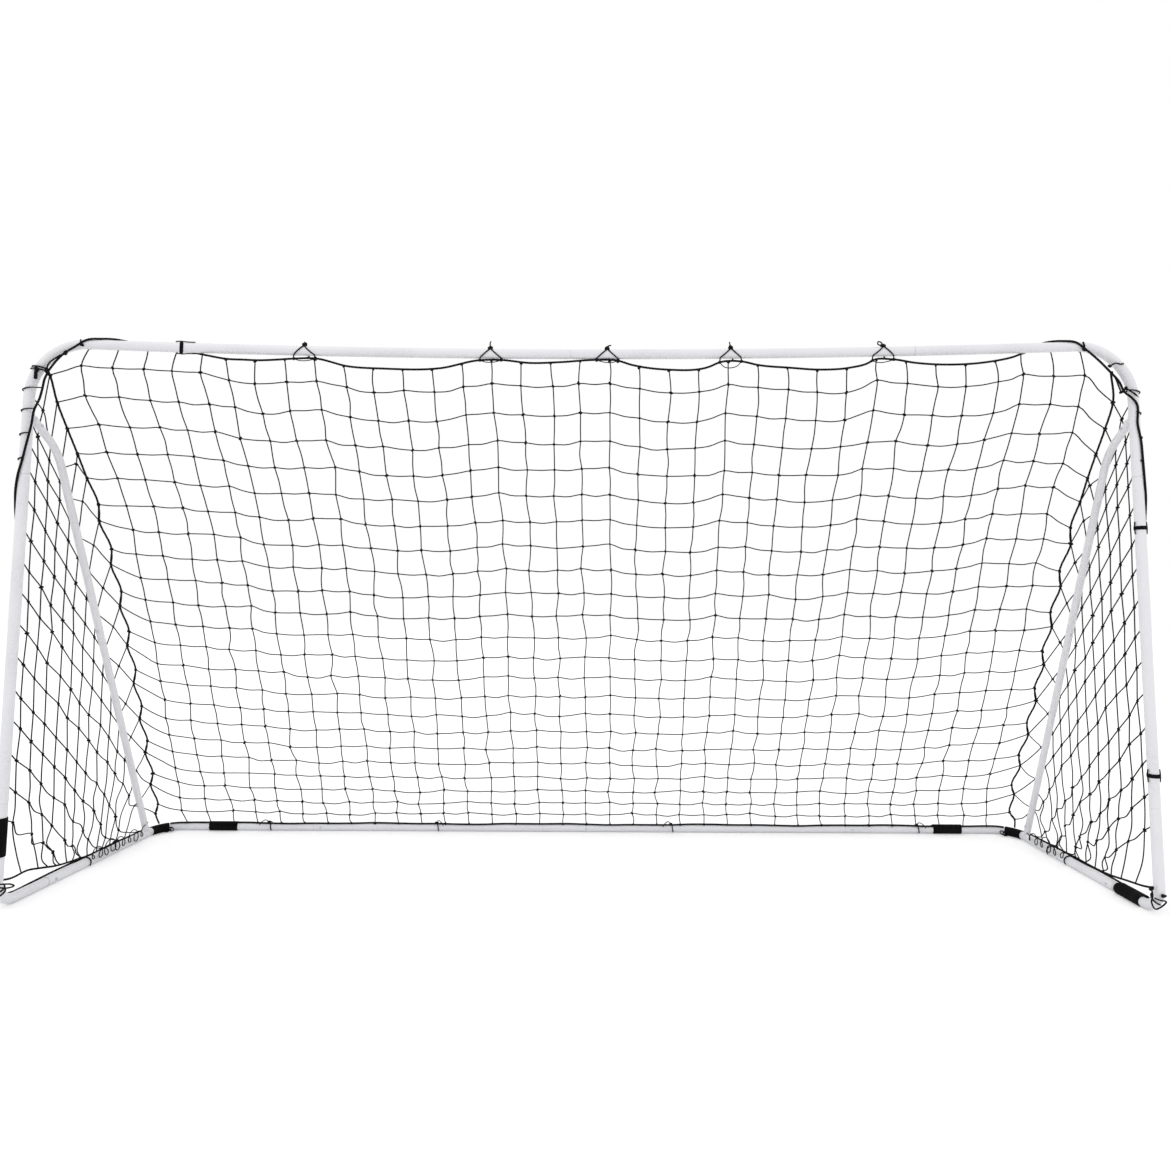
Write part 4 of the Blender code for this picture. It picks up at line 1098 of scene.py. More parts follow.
    def upper_brace(self, side: Side) -> Array:
        """Centre line of an upper brace: out of the post, round its bend and down to its seam.

        Args:
            side: Which side of the goal it is on.

        Returns:
            The points.
        """
        base = post_round(side, STUB_HEIGHT)
        foot = side_round(side, BRACE_FOOT_Y)
        out, up = stub_out(), brace_up()
        gap = foot - base
        from_post = (gap[1] * up[2] - gap[2] * up[1]) / (out[1] * up[2] - out[2] * up[1])
        turn = math.pi / 2 - BRACE_LEAN - STUB_SLOPE
        start = base + out * (from_post - BRACE_BEND * math.tan(turn / 2))
        inward = np.array((0.0, -math.sin(STUB_SLOPE), -math.cos(STUB_SLOPE)))
        bend = arc(start + inward * BRACE_BEND, -inward, out, BRACE_BEND, 0.0, turn, 18)
        ends = (base + out * stub_start(), foot + up * (BRACE_SEAM + FIT))
        return np.vstack((ends[0][None], bend, ends[1][None]))

    def build(self, joints: Sequence[Joint], buttons: Buttons, finishes: Finishes) -> None:
        """Builds every tube, with its stub, weld and holes.

        Args:
            joints: The frame's joints.
            buttons: The snap buttons, which give the holes.
            finishes: The goal's finishes.
        """
        stubs = {}
        for side in Side:
            post = (post_round(side, STUB_HEIGHT), stub_out(), Z_AXIS, stub_start() + INSERT)
            foot = (side_round(side, BRACE_FOOT_Y), brace_up(), Y_AXIS, foot_start() + INSERT)
            stubs[f"top_corner_{side.label}"] = post
            stubs[f"rear_corner_{side.label}"] = foot
        for name, (points, stock, start, end) in self.routes().items():
            holes = [joint for joint in joints if name in joint.pieces]
            plain = [joint for joint in holes if joint.stock is stock]
            body = self.pipe(points, stock, start, end).mesh(name)
            meshes = [self.drilled(body, [buttons.hole(joint) for joint in plain])]
            if name in stubs:
                base, direction, along, length = stubs[name]
                spigot = self.stub(base, direction, along, length).mesh(name)
                rest = [joint for joint in holes if joint.stock is not stock]
                meshes.append(self.drilled(spigot, [buttons.hole(joint) for joint in rest]))
                meshes.append(self.weld(base, direction, along).mesh(name))
            put(f"{name}_dressed", joined(meshes, f"{name}_dressed"), finishes.coat, [name])


def joined(meshes: Sequence[Mesh], name: str) -> Mesh:
    """Several meshes as one, shaded smooth but for its sharp edges.

    Args:
        meshes: The meshes to join.
        name: Name of the result.

    Returns:
        The joined mesh.
    """
    built = bmesh.new()
    for mesh in meshes:
        built.from_mesh(mesh)
    made = bpy.data.meshes.new(name)
    built.to_mesh(made)
    built.free()
    made.shade_smooth()
    made.set_sharp_from_angle(angle=math.radians(38.0))
    return made


# ---- Ropes, cords and bands


def add_rope(shell: Shell, points: Array, radius: object, count: int = 10, lay: float = 0.0,
             pitch: float = 0.03) -> float:
    """Adds a round rope along a path; its three strands bulge by a share of its radius.

    A ring point's radius is r (1 + lay cos 3 (a - tau s / pitch)), s being the distance along.

    Args:
        shell: Where it goes.
        points: The path.
        radius: One radius, or one for each point.
        count: Points on a ring.
        lay: How deep the strands show, as a share of the radius.
        pitch: Length of one turn of the strands.

    Returns:
        The rope's length.
    """
    track = Track(points)
    angle = np.linspace(0.0, math.tau, count, endpoint=False)
    turn = angle - math.tau * track.lengths[:, None] / pitch
    plain = np.broadcast_to(np.asarray(radius, float), (len(points),))
    reach = plain[:, None] * (1 + lay * np.cos(3 * turn))
    shell.sweep(track.rings(track.lengths, reach, count), track.lengths)
    return track.length


def add_border(shell: Shell, path: Array) -> float:
    """Adds a border rope along a path and gives its length."""
    return add_rope(shell, path, ROPE, 10, 0.09)


def add_cord(shell: Shell, points: Iterable[Point], step: float = 0.004, radius: float = TIE,
             count: int = 7, lay: float = 0.06) -> None:
    """Adds a thin cord that runs smoothly through chosen points."""
    add_rope(shell, smooth(points, step), radius, count, lay)


def put_cords(name: str, shell: Shell, finish: Material, slot: Slot, *nodes: str) -> None:
    """Puts the cords in a shell into the scene as one piece, which stands for the given nodes."""
    put(name, shell.mesh(name, 60.0), finish, nodes)


def knot_shape(count: int = 6) -> Shell:
    """A small rounded lump of radius one with a waist, the shape of a pulled-tight knot."""
    angle = np.linspace(0.0, math.tau, count, endpoint=False)
    rows = np.radians((25.0, 70.0, 110.0, 155.0))
    waist = np.array((1.0, 0.92, 0.92, 1.0))
    ring = np.stack((np.cos(angle), np.sin(angle)), -1)
    flat = (np.sin(rows) * waist)[:, None, None] * ring[None]
    high = np.broadcast_to(-np.cos(rows)[:, None, None], flat.shape[:2] + (1,))
    rings = np.concatenate((flat, high), -1)
    shell = Shell()
    shell.sweep(rings, np.linspace(0.0, 0.006, len(rings)))
    shell.points[-1] = np.array((-Z_AXIS, Z_AXIS))
    shell.corners[-1] = shell.corners[-1] * (1.0, 0.4)
    return shell


def random_turns(count: int, size: Array, rng: Draws) -> Array:
    """Turning matrices at random, each stretched to a size along its three axes.

    Args:
        count: How many.
        size: Half sizes along the three axes.
        rng: Source of the random draws.

    Returns:
        The matrices.
    """
    first = unit(rng.normal(size=(count, 3)))
    second = unit(np.cross(first, rng.normal(size=(count, 3))))
    third = np.cross(first, second)
    sizes = size * rng.uniform(0.85, 1.15, (count, 1))
    return np.stack((first, second, third), -1) * sizes[:, None, :]


class Knots:
    """Adds knots to a shell: one sort of lump, turned and sized a little differently each time."""

    def __init__(self, rng: Draws) -> None:
        """Keeps the source of the random draws and builds the shape once."""
        self.rng, self.shape = rng, knot_shape()

    def add(self, shell: Shell, places: Array, size: float, stretch: float = 1.25) -> None:
        """Adds a knot at each place.

        Args:
            shell: Where they go.
            places: The knots' middles.
            size: Half width of a knot.
            stretch: How much longer than wide a knot is.
        """
        places = np.atleast_2d(places)
        sizes = np.array((size, size, size * stretch))
        shell.copies(self.shape, places, random_turns(len(places), sizes, self.rng))


@dataclass
class TopRope:
    """Border rope under the crossbar: its chosen places, how far ahead it hangs and where it shows."""

    places: tuple = (
        (-1.236, 1.777), (-1.162, 1.764), (-1.112, 1.762), (-1.062, 1.760), (-1.006, 1.762),
        (-0.942, 1.766), (-0.878, 1.767), (-0.7625, 1.740), (-0.65, 1.733), (-0.459, 1.735),
        (-0.33, 1.762), (-0.262, 1.763), (-0.165, 1.753), (-0.0665, 1.756), (0.056, 1.764),
        (0.122, 1.762), (0.168, 1.748), (0.283, 1.732), (0.42, 1.740), (0.464, 1.758),
        (0.530, 1.760), (0.586, 1.748), (0.691, 1.739), (0.7895, 1.733), (0.888, 1.740),
        (0.948, 1.756), (0.963, 1.765), (1.030, 1.768), (1.10, 1.757), (1.217, 1.751),
        (1.3325, 1.759), (1.42, 1.776),
    )
    ahead: float = 0.004
    free: Pair = (-1.25, 1.42)

    def middle(self) -> Array:
        """The chosen points between the two places where the rope goes behind the bar."""
        return np.array([(x, FRONT_Y - self.ahead, z) for x, z in self.places])

    def left_elbow(self) -> list[Array]:
        """From under the left strap behind and over the bar to the corner knot."""
        turns = ((-1.266, 310), (-1.29, 335), (-1.32, 350), (-1.40, 358), (-1.45, 12), (-1.50, 55),
                 (-1.54, 95), (-1.58, 118), (-1.62, 146))
        wound = [bar_round(x, turn, TUBE_RADIUS + ROPE + FIT) for x, turn in turns]
        hung = from_front(((-1.662, -0.020, 1.797), (-1.690, -0.020, 1.779), (-1.722, -0.015, 1.752),
                           (-1.748, -0.010, 1.722)))
        return (wound + hung)[::-1]

    def right_elbow(self) -> list[Array]:
        """From the last tie behind and over the bar to the right corner knot."""
        turns = ((1.455, 300), (1.485, 345), (1.51, 30), (1.535, 70), (1.56, 98), (1.59, 120),
                 (1.62, 146))
        wound = [bar_round(x, turn, TUBE_RADIUS + ROPE) for x, turn in turns]
        hung = ((1.660, -0.020, 1.792), (1.70, -0.018, 1.757), (1.735, -0.013, 1.724))
        return wound + from_front(hung)

    def path(self, step: float = 0.005) -> Array:
        """The whole rope, from the left corner knot to the right one."""
        return smooth([*self.left_elbow(), *self.middle(), *self.right_elbow()], step)

    def at(self, x: Array) -> Array:
        """Points that the net's strands start from: on the rope, or behind the bar that hides it.

        Args:
            x: Places along the bar.

        Returns:
            The points.
        """
        line = smooth(self.middle(), 0.01)
        order = np.argsort(line[:, 0])
        z = np.interp(x, line[order, 0], line[order, 2])
        hidden = (np.asarray(x) < self.free[0]) | (np.asarray(x) > self.free[1])
        z = np.where(hidden, bar_height(x) - 0.004, z)
        y = np.where(hidden, FRONT_Y + TUBE_RADIUS + 0.001, FRONT_Y - self.ahead)
        return np.stack((np.asarray(x, float), y, z), -1)


@dataclass
class Seam:
    """Seam rope between the back net and one side net."""

    side: Side
    top_end: float = math.radians(38.0)
    foot_end: float = math.radians(31.5)
    foot_lift: float = 0.0224
    radius: float = 0.0034
    bulge: float = 0.07
    inset_top: float = 0.05
    rows: int = 23
    first_pair: int = 6
    pair_shift: float = 0.0065
    pair_spread: float = 0.008
    sway: float = 0.03
    lower_swing: float = 0.032

    def edge_share(self, row: Array) -> Array:
        """Share of the seam's fall above a row's knot.

        It is the row's own share less a lift, which is a cubic a + b t + c t^2 + d t^3 in the row's
        place t, and it is held short of the seam's end.

        Args:
            row: Numbers of the rows.

        Returns:
            The shares.
        """
        left = self.side is Side.LEFT
        a, b, c, d = (0.038, 0.066, 0.107, -0.191) if left else (-0.005, 0.085, 0.045, -0.111)
        place = np.asarray(row, float) / self.rows
        lift = a + place * (b + place * (c + place * d))
        return np.clip(row_share(place) - lift, 0.0, 0.985)

    def ends(self) -> Tuple[Array, Array]:
        """Where its fall starts, below the corner knot, and where it ends on the corner wrap."""
        reach = TOP_BEND - ROPE_OFFSET - 2 * ROPE - FIT
        across, up = math.cos(self.top_end), math.sin(self.top_end)
        top = np.array((self.side.value * (BEND_X + reach * across), FRONT_Y, BEND_Z + reach * up))
        foot = np.array((self.side.value * (CORNER_X + REAR_BEND * math.cos(self.foot_end)),
                         CORNER_Y + REAR_BEND * math.sin(self.foot_end), GROUND_Z + self.foot_lift))
        return top, foot

    def corner_knot(self) -> Array:
        """Place of the knot that joins it to the top rope and the side rope."""
        x = -1.750 if self.side is Side.LEFT else 1.737
        return np.array((x, FRONT_Y - 0.012, 1.723))

    def at(self, share: Array) -> Array:
        """Points of the seam at shares of its fall; it bows back and, near its top, inwards.

        A slack bulge (s / p) exp(1 - s / p) pushes it out again just below the corner knot, and the
        right one swings inwards by w sin (pi s^7) above the ground.

        Args:
            share: Shares of the fall from the corner knot to the wrap.

        Returns:
            The points.
        """
        share = np.asarray(share, float)
        top, foot = self.ends()
        rest = 1.0 - share
        swell = 0.42 if self.side is Side.LEFT else 0.08
        peak = 0.10 if self.side is Side.LEFT else 0.07
        inset = self.inset_top * rest**2 + swell * share * rest**3
        inset -= self.sway * share / peak * np.exp(1.0 - share / peak)
        if self.side is Side.RIGHT:
            inset += self.lower_swing * np.sin(math.pi * np.clip(share, 0.0, 1.0) ** 7)
        straight = abs(foot[0]) + (abs(top[0]) + self.inset_top - abs(foot[0])) * rest
        depth = top[1] + (foot[1] - top[1]) * share + self.bulge * 4 * share * rest
        height = top[2] + (foot[2] - top[2]) * share
        return np.stack((self.side.value * (straight - inset), depth, height), -1)

    def knots(self) -> Array:
        """The knot of each row of the back net; from the first pair down they stand in twos."""
        row = np.arange(self.rows + 1)
        share = self.edge_share(row)
        upper = (row >= self.first_pair) & (row % 2 == 0)
        lower = (row >= self.first_pair) & (row % 2 == 1)
        points = self.at(np.clip(share + self.pair_shift * (upper.astype(float) - lower), 0.0, 1.0))
        points[:, 0] += self.side.value * self.pair_spread * (lower.astype(float) - upper)
        return points

    def build(self, finishes: Finishes, knots: Knots) -> float:
        """Builds the rope with its knots and the second cord between paired knots.

        Args:
            finishes: The goal's finishes.
            knots: Adds the knots.

        Returns:
            The rope's length.
        """
        shell = Shell()
        places = self.knots()[1:]
        path = smooth([self.corner_knot(), *places, self.ends()[1]], 0.006)
        length = add_rope(shell, path, self.radius, 8, 0.08, 0.024)
        for upper in range(self.first_pair, self.rows, 2):
            one, two = places[upper - 1], places[upper]
            bow = np.array((self.side.value * -0.0045, -0.003, 0.0))
            add_cord(shell, [one, (one + two) / 2 + bow, two], 0.006, 0.0028, 6)
        knots.add(shell, places, 0.0062, 1.3)
        knots.add(shell, places[:self.first_pair - 1] + (0, 0.003, -0.006), 0.0052, 1.3)
        label = self.side.label
        put_cords(f"seam_cord_{label}", shell, finishes.rope, Slot.ROPE, f"seam_rope_{label}")
        return length


def row_share(place: Array) -> Array:
    """Share of the fall above a row, (t - 0.125 t^4) / 0.875: the meshes crowd towards the ground."""
    return (place - 0.125 * place**4) / 0.875


@dataclass
class BackNet:
    """The large net behind the goal mouth: upright strands, cross strands and their knots."""

    columns: int = 36
    rows: int = 23
    strand: float = 0.0021
    bulge: float = 0.03
    jitter: float = 0.0035
    sag: float = 0.004
    slack_top: float = 0.0115
    lift_left: float = 0.046
    lift_right: float = 0.028
    drawn_in: float = 0.022
    drawn_from: float = -0.68

    def lattice(self, rope: TopRope, seams: dict, rng: Draws) -> Array:
        """Every crossing of the net, row by row.

        A crossing at share s of the fall and place p across (-1 to 1) lies between the straight
        line from the top rope to the rear rope, bulged back by 4 b s (1 - s), and the seam, which
        takes over as p^8 near the sides. Rows rise towards the seams by l (1 - t^6) p^7 and hang
        m (1 - t) higher than evenly spaced ones, t being the row's place from the top. The top
        row's crossings near the left corner are drawn in towards the middle.

        Args:
            rope: The top rope.
            seams: The two seams, by side.
            rng: Source of the small unevenness.

        Returns:
            An array of rows, each an array of crossings.
        """
        place = np.linspace(-1.0, 1.0, self.columns + 1)[None, :]
        row = np.arange(self.rows + 1)[:, None]
        down = row / self.rows
        amount = np.where(place < 0, self.lift_left, self.lift_right)
        raised = self.slack_top * (1 - down) + amount * (1 - down**6) * np.abs(place) ** 7
        lifted = np.clip(row_share(down) - raised, 0.0, 1.0)
        edges = np.where(place[..., None] < 0, *(seams[side].at(lifted) for side in Side))
        x = np.abs(edges[..., 0]) * place
        start = rope.at(x[0])
        behind = REAR_Y + ROPE_OFFSET * math.cos(REAR_LIFT)
        above = GROUND_Z + ROPE_OFFSET * math.sin(REAR_LIFT)
        depth = start[:, 1] + (behind - start[:, 1]) * lifted + self.bulge * 4 * lifted * (1 - lifted)
        height = start[:, 2] + (above - start[:, 2]) * lifted
        near = np.abs(place) ** 8
        depth = depth + (edges[..., 1] - depth) * near
        height = height + (edges[..., 2] - height) * near
        points = np.stack((x, depth, height), -1)
        points[0] = start
        points[-1, :, 1:] = behind, above
        drawn = np.clip((self.drawn_from - place[0]) / 0.1, 0.0, 1.0) * (place[0] > -1)
        points[0, :, 0] += self.drawn_in * drawn
        inner = points[1:-1, 1:-1]
        inner += rng.normal(size=inner.shape) * self.jitter * (1.0, 0.6, 0.8)
        for side, column in ((Side.LEFT, 0), (Side.RIGHT, -1)):
            points[1:, column] = seams[side].knots()[1:]
        return points

    def strung(self, knots: Array, bow: Array) -> Array:
        """A strand through a row or a column of knots, with its spans a little slack.

        Args:
            knots: The knots in order.
            bow: How far the middle of each span hangs from the straight line.

        Returns:
            The strand's path.
        """
        middles = (knots[1:] + knots[:-1]) / 2 + bow
        points = np.empty((2 * len(knots) - 1, 3))
        points[::2], points[1::2] = knots, middles
        return smooth(points, 0.018)

    def build(self, rope: TopRope, seams: dict, finishes: Finishes, knots: Knots) -> None:
        """Builds the net.

        Args:
            rope: The top rope.
            seams: The two seams, by side.
            finishes: The goal's finishes.
            knots: Adds the knots.
        """
        rng = np.random.default_rng(SEED)
        points = self.lattice(rope, seams, rng)
        shell = Shell()
        for column in range(1, self.columns):
            line = points[:, column]
            bow = rng.normal(size=(self.rows, 3)) * (0.002, 0.0015, 0.0)
            add_rope(shell, self.strung(line, bow), self.strand, 5)
        for row in range(1, self.rows):
            line = points[row]
            bow = rng.normal(size=(self.columns, 3)) * (0.0, 0.0012, 0.0012)
            bow[:, 2] -= self.sag * rng.uniform(0.2, 1.4, self.columns)
            add_rope(shell, self.strung(line, bow), self.strand, 5)
        knots.add(shell, points[1:-1, 1:-1].reshape(-1, 3), 0.0050, 1.3)
        knots.add(shell, points[0, 1:-1] + (0, 0, -0.003), 0.0055, 1.2)
        knots.add(shell, points[-1, 1:-1], 0.0050, 1.2)
        put_cords("back_netting", shell, finishes.strand, Slot.NET, "back_net")


@dataclass
class SideNet:
    """A side net: upright strands that hang from the seam's knots and sloped strands."""

    side: Side
    strand: float = 0.0021
    seam_rows: tuple = (1, 2, 3, 4, 5, 7, 9, 11, 13, 15, 17, 19, 21)
    first_y: float = FRONT_Y + 0.0715
    pitch: float = 0.0563
    start_y: float = FRONT_Y + 0.0165
    first_z: float = 1.527
    drop: float = 0.103
    ground: float = GROUND_Z + 0.0140
    fold_behind: float = 0.018
    gather: float = 0.30
    high_starts: tuple = (1.655, 1.585, 1.505)
    hitched: int = 4
    sloped: int = 15
    first_row: int = 5
    steepness: float = 0.93
    highest_share: float = 0.93
    edge_gap: float = 0.014
    seam_gap: float = 0.008

    def edge(self) -> Array:
        """The net's lower edge cord as (depth, height): it hangs clear of the bar near the post."""
        if self.side is Side.LEFT:
            near, rows = 0.088, ((-0.369, 0.074), (-0.292, 0.075), (-0.238, 0.064), (-0.162, 0.047))
        else:
            near, rows = 0.084, ((-0.376, 0.067), (-0.255, 0.048), (-0.160, 0.036), (-0.06, 0.033))
        ends = ((self.tie_y(), self.ground + 0.004), (0.32, self.ground))
        return np.array(((FRONT_Y + 0.013, near), *rows, *ends))

    def edge_z(self, y: Array) -> Array:
        """Height of the lower edge cord at a depth."""
        return np.interp(y, *self.edge().T)

    def hitch(self, shell: Shell, z: float) -> None:
        """Adds a short cord that ties a strand's start round the post to the border rope in front.

        Args:
            shell: Where it goes.
            z: Height of the strand's start.
        """
        rope = np.array(SideRope(self.side).upper())[::-1]
        above = z + 0.008
        held = np.array([*(np.interp(above, rope[:, 2], rope[:, axis]) for axis in (0, 1)), above])
        start = self.outer(np.array(FRONT_Y + 0.0131), np.array(z))
        around = [post_round(self.side, z + 0.0015 * place, turn, TUBE_RADIUS + TIE) for place, turn in
                  enumerate((8, -18, -44, -68, -88))]
        add_cord(shell, [start, *around, held], count=6, lay=0.0)

    def tie_y(self) -> float:
        """Depth of the tie that the slack net gathers at."""
        return FRONT_Y + (0.406 if self.side is Side.LEFT else 0.472)

    def fold_z(self, y: Array) -> Array:
        """Height at which the net folds over the brace, at a depth."""
        reach = BRACE_FOOT_Y + self.fold_behind / math.cos(BRACE_LEAN)
        line = GROUND_Z + (reach - y) / math.tan(BRACE_LEAN)
        above = self.fold_behind / math.cos(STUB_SLOPE)
        stub = STUB_HEIGHT - (y - FRONT_Y) * math.tan(STUB_SLOPE) + above
        return np.minimum(line, stub)

    def outer(self, y: Array, z: Array) -> Array:
        """Places in the net's outer plane."""
        return np.stack((np.full_like(y, self.side.value * NET_OUTSIDE), y, z), -1)

    def crossings(self, start: Array, slope: float, folds: Array, hung: Array) -> tuple:
        """Where one sloped strand meets every upright strand.

        An upright strand runs from the ground up to its fold f, then straight to its knot k on the
        seam. The sloped strand z = z0 + m (y - y0) meets that upper part f + t (k - f) at
        t = (z0 + m (fy - y0) - fz) / ((kz - fz) - m (ky - fy)).

        Args:
            start: The sloped strand's start as (depth, height).
            slope: Its slope m.
            folds: Fold of each upright strand.
            hung: The seam's knot of each.

        Returns:
            The crossings and which of them exist.
        """
        level = start[1] + slope * (folds[:, 1] - start[0])
        rise = hung - folds
        share = (level - folds[:, 2]) / (rise[:, 2] - slope * rise[:, 1])
        low = level <= folds[:, 2]
        upper = folds + np.clip(share, 0.0, 1.0)[:, None] * rise
        points = np.where(low[:, None], self.outer(folds[:, 1], level), upper)
        return points, (low | (share < self.highest_share)) & (level > self.ground + 0.02)

    def loosened(self, points: Array, rng: Draws) -> Array:
        """Moves crossings as the slack net hangs: uneven and gathered at the tie near the ground."""
        low = np.clip((0.40 - points[:, 2]) / 0.38, 0.0, 1.0)
        moved = points + rng.normal(size=points.shape) * (0.0008, 0.0028, 0.0028)
        moved[:, 1] += self.gather * low**2 * (self.tie_y() - points[:, 1]) * (points[:, 1] > -0.34)
        moved += rng.normal(size=points.shape) * low[:, None] * (0.002, 0.008, 0.009)
        return moved

    def slack(self, path: Array, rng: Draws) -> Array:
        """Adds a drooping point inside each span that hangs near the ground.

        Args:
            path: The strand's points.
            rng: Source of the unevenness.

        Returns:
            The points with the drooping ones between them.
        """
        middles = (path[1:] + path[:-1]) / 2
        low = np.clip((0.42 - middles[:, 2]) / 0.38, 0.0, 1.0)[:, None]
        middles += low * rng.normal(size=middles.shape) * (0.004, 0.013, 0.006)
        middles[:, 2] -= 0.016 * low[:, 0] * np.clip(middles[:, 2] / 0.1, 0.0, 1.0)
        woven = np.empty((2 * len(path) - 1, 3))
        woven[::2], woven[1::2] = path, middles
        woven[1:-1, 2] = np.maximum(woven[1:-1, 2], self.edge_z(woven[1:-1, 1]) + 0.002)
        return woven

    def build(self, seam: Seam, finishes: Finishes, knots: Knots) -> None:
        """Builds the net strand by strand.

        Args:
            seam: The seam on this side.
            finishes: The goal's finishes.
            knots: Adds the knots.
        """
        rng = np.random.default_rng(SEED + self.side.value)
        seam_knots = seam.knots()
        hung = seam_knots[list(self.seam_rows)]
        columns = np.arange(len(self.seam_rows))
        y = self.first_y + self.pitch * columns
        folds = self.outer(y, np.minimum(self.fold_z(y), hung[:, 2] - 0.05))
        shell = Shell()
        uprights = [[] for _ in columns]
        places = []
        high, on_rope = len(self.high_starts), FRONT_Y + ROPE_OFFSET * math.sin(SIDE_LIFT)
        for number in range(self.sloped):
            row = self.first_row + 2 * number
            start = np.array((self.start_y, self.first_z - self.drop * (number + 1 - high)))
            if number < high:
                start[1] = self.high_starts[number]
            if number < self.hitched:
                self.hitch(shell, start[1])
            if row <= seam.rows:
                end = seam_knots[row]
            else:
                run = (start[1] - self.ground) / self.steepness
                end = self.outer(np.array(start[0] + run), self.edge_z(start[0] + run))
            slope = (end[2] - start[1]) / (end[1] - start[0])
            found, keep = self.crossings(start, slope, folds, hung)
            keep &= (np.array(self.seam_rows) < row) & (found[:, 1] < end[1] - self.seam_gap)
            found = self.loosened(found, rng)
            keep &= found[:, 2] > self.edge_z(found[:, 1]) + self.edge_gap
            found = found[keep]
            first = self.outer(np.array(on_rope), np.array(start[1] + 0.004))
            path = self.slack(np.vstack((first[None], found, end[None])), rng)
            add_cord(shell, path, 0.011, self.strand, 5, 0.0)
            places.append(found)
            for column, point in zip(columns[keep], found):
                uprights[column].append(point)
        for column, found in enumerate(uprights):
            fold = folds[column]
            if all(abs(point[2] - fold[2]) > 0.025 for point in found):
                found.append(fold)
            found = sorted(found, key=lambda point: -point[2])
            low = found[-1]
            depth = low[1] + 0.15 * (self.tie_y() - low[1])
            foot = self.outer(np.array(depth), self.edge_z(depth))
            path = self.slack(np.vstack((hung[column], *found, foot)), rng)
            add_cord(shell, path, 0.011, self.strand, 5, 0.0)
        depth, height = self.edge().T
        path = smooth(self.outer(depth, height), 0.01)
        add_rope(shell, path, np.where(path[:, 1] < self.tie_y(), 0.0034, 0.0024), 7, 0.06)
        knots.add(shell, np.vstack(places), 0.0050, 1.3)
        label = self.side.label
        put_cords(f"side_netting_{label}", shell, finishes.strand, Slot.NET, f"side_net_{label}")


@dataclass
class SideRope:
    """Border rope of one side: from the corner knot, down the post and back along the ground."""

    side: Side

    def upper(self) -> list[Array]:
        """From the corner knot to where the rope settles behind the post."""
        if self.side is Side.LEFT:
            hung = ((-1.748, -0.010, 1.722), (-1.757, -0.014, 1.690), (-1.760, -0.016, 1.661),
                    (-1.766, -0.017, 1.628), (-1.780, -0.019, 1.588), (-1.786, -0.0195, 1.538),
                    (-1.797, -0.0198, 1.480), (-1.808, -0.0200, 1.4225), (-1.820, -0.0193, 1.370))
            turns = ((1.327, -42), (1.27, -8), (1.20, 22), (1.10, 38))
        else:
            hung = ((1.735, -0.013, 1.724), (1.756, -0.019, 1.693), (1.7735, -0.021, 1.654),
                    (1.792, -0.022, 1.638), (1.808, -0.0200, 1.622), (1.810, -0.0200, 1.548),
                    (1.818, -0.0195, 1.500), (1.822, -0.0185, 1.430))
            turns = ((1.37, -52), (1.31, -28), (1.25, 5), (1.17, 32))
        wound = [post_round(self.side, z, turn, TUBE_RADIUS + ROPE) for z, turn in turns]
        return from_front(hung) + wound

    def path(self) -> Array:
        """The whole rope: the chosen points, the straight post, the foot's bend and the side bar."""
        reach = TUBE_RADIUS + ROPE + FIT
        out = X_AXIS * self.side.value
        shift = out * (ROPE_OFFSET * math.cos(SIDE_LIFT))
        lift = ROPE_OFFSET * math.sin(SIDE_LIFT)
        down = [post_round(self.side, z, 40, reach) for z in (0.95, 0.8, 0.65, 0.5, 0.35, 0.2)]
        centre = foot_centre(self.side) + shift
        bend = arc(centre, -Y_AXIS, -Z_AXIS, FOOT_BEND - lift, 0.1, math.pi / 2, 5)
        places = np.arange(-0.28, CORNER_Y - 0.05, 0.09)
        along = np.array([side_round(self.side, y, 40, ROPE_OFFSET) for y in places])
        wave = 0.0025 * np.sin(np.arange(len(along)) * 2.1)
        along[:, 2] += np.abs(wave)
        end = [side_round(self.side, CORNER_Y, 40, ROPE_OFFSET)]
        return smooth([*self.upper(), *down, *bend, *along, *end], 0.005)

    def build(self, finishes: Finishes, knots: Knots) -> float:
        """Builds the rope and the cords that are knotted onto it.

        Args:
            finishes: The goal's finishes.
            knots: Adds the knots.

        Returns:
            The rope's length.
        """
        shell = Shell()
        length = add_border(shell, self.path())
        near, beside, over = TUBE_RADIUS + TIE, TUBE_RADIUS + 0.0045, ROPE_OFFSET + ROPE + TIE
        steps = ((-44, near), (-15, near), (15, beside), (40, over), (65, beside), (100, near),
                 (140, near), (180, near), (224, near))
        for y in ((FRONT_Y + 0.406,) if self.side is Side.LEFT else (FRONT_Y + 0.472, FRONT_Y + 0.588)):
            loop = [side_round(self.side, y + 0.001 * place, *step) for place, step in enumerate(steps)]
            add_cord(shell, loop)
            knots.add(shell, side_round(self.side, y, 42, over), 0.0055, 1.3)
        label = self.side.label
        put_cords(f"side_border_{label}", shell, finishes.rope, Slot.ROPE, f"side_rope_{label}")
        return length


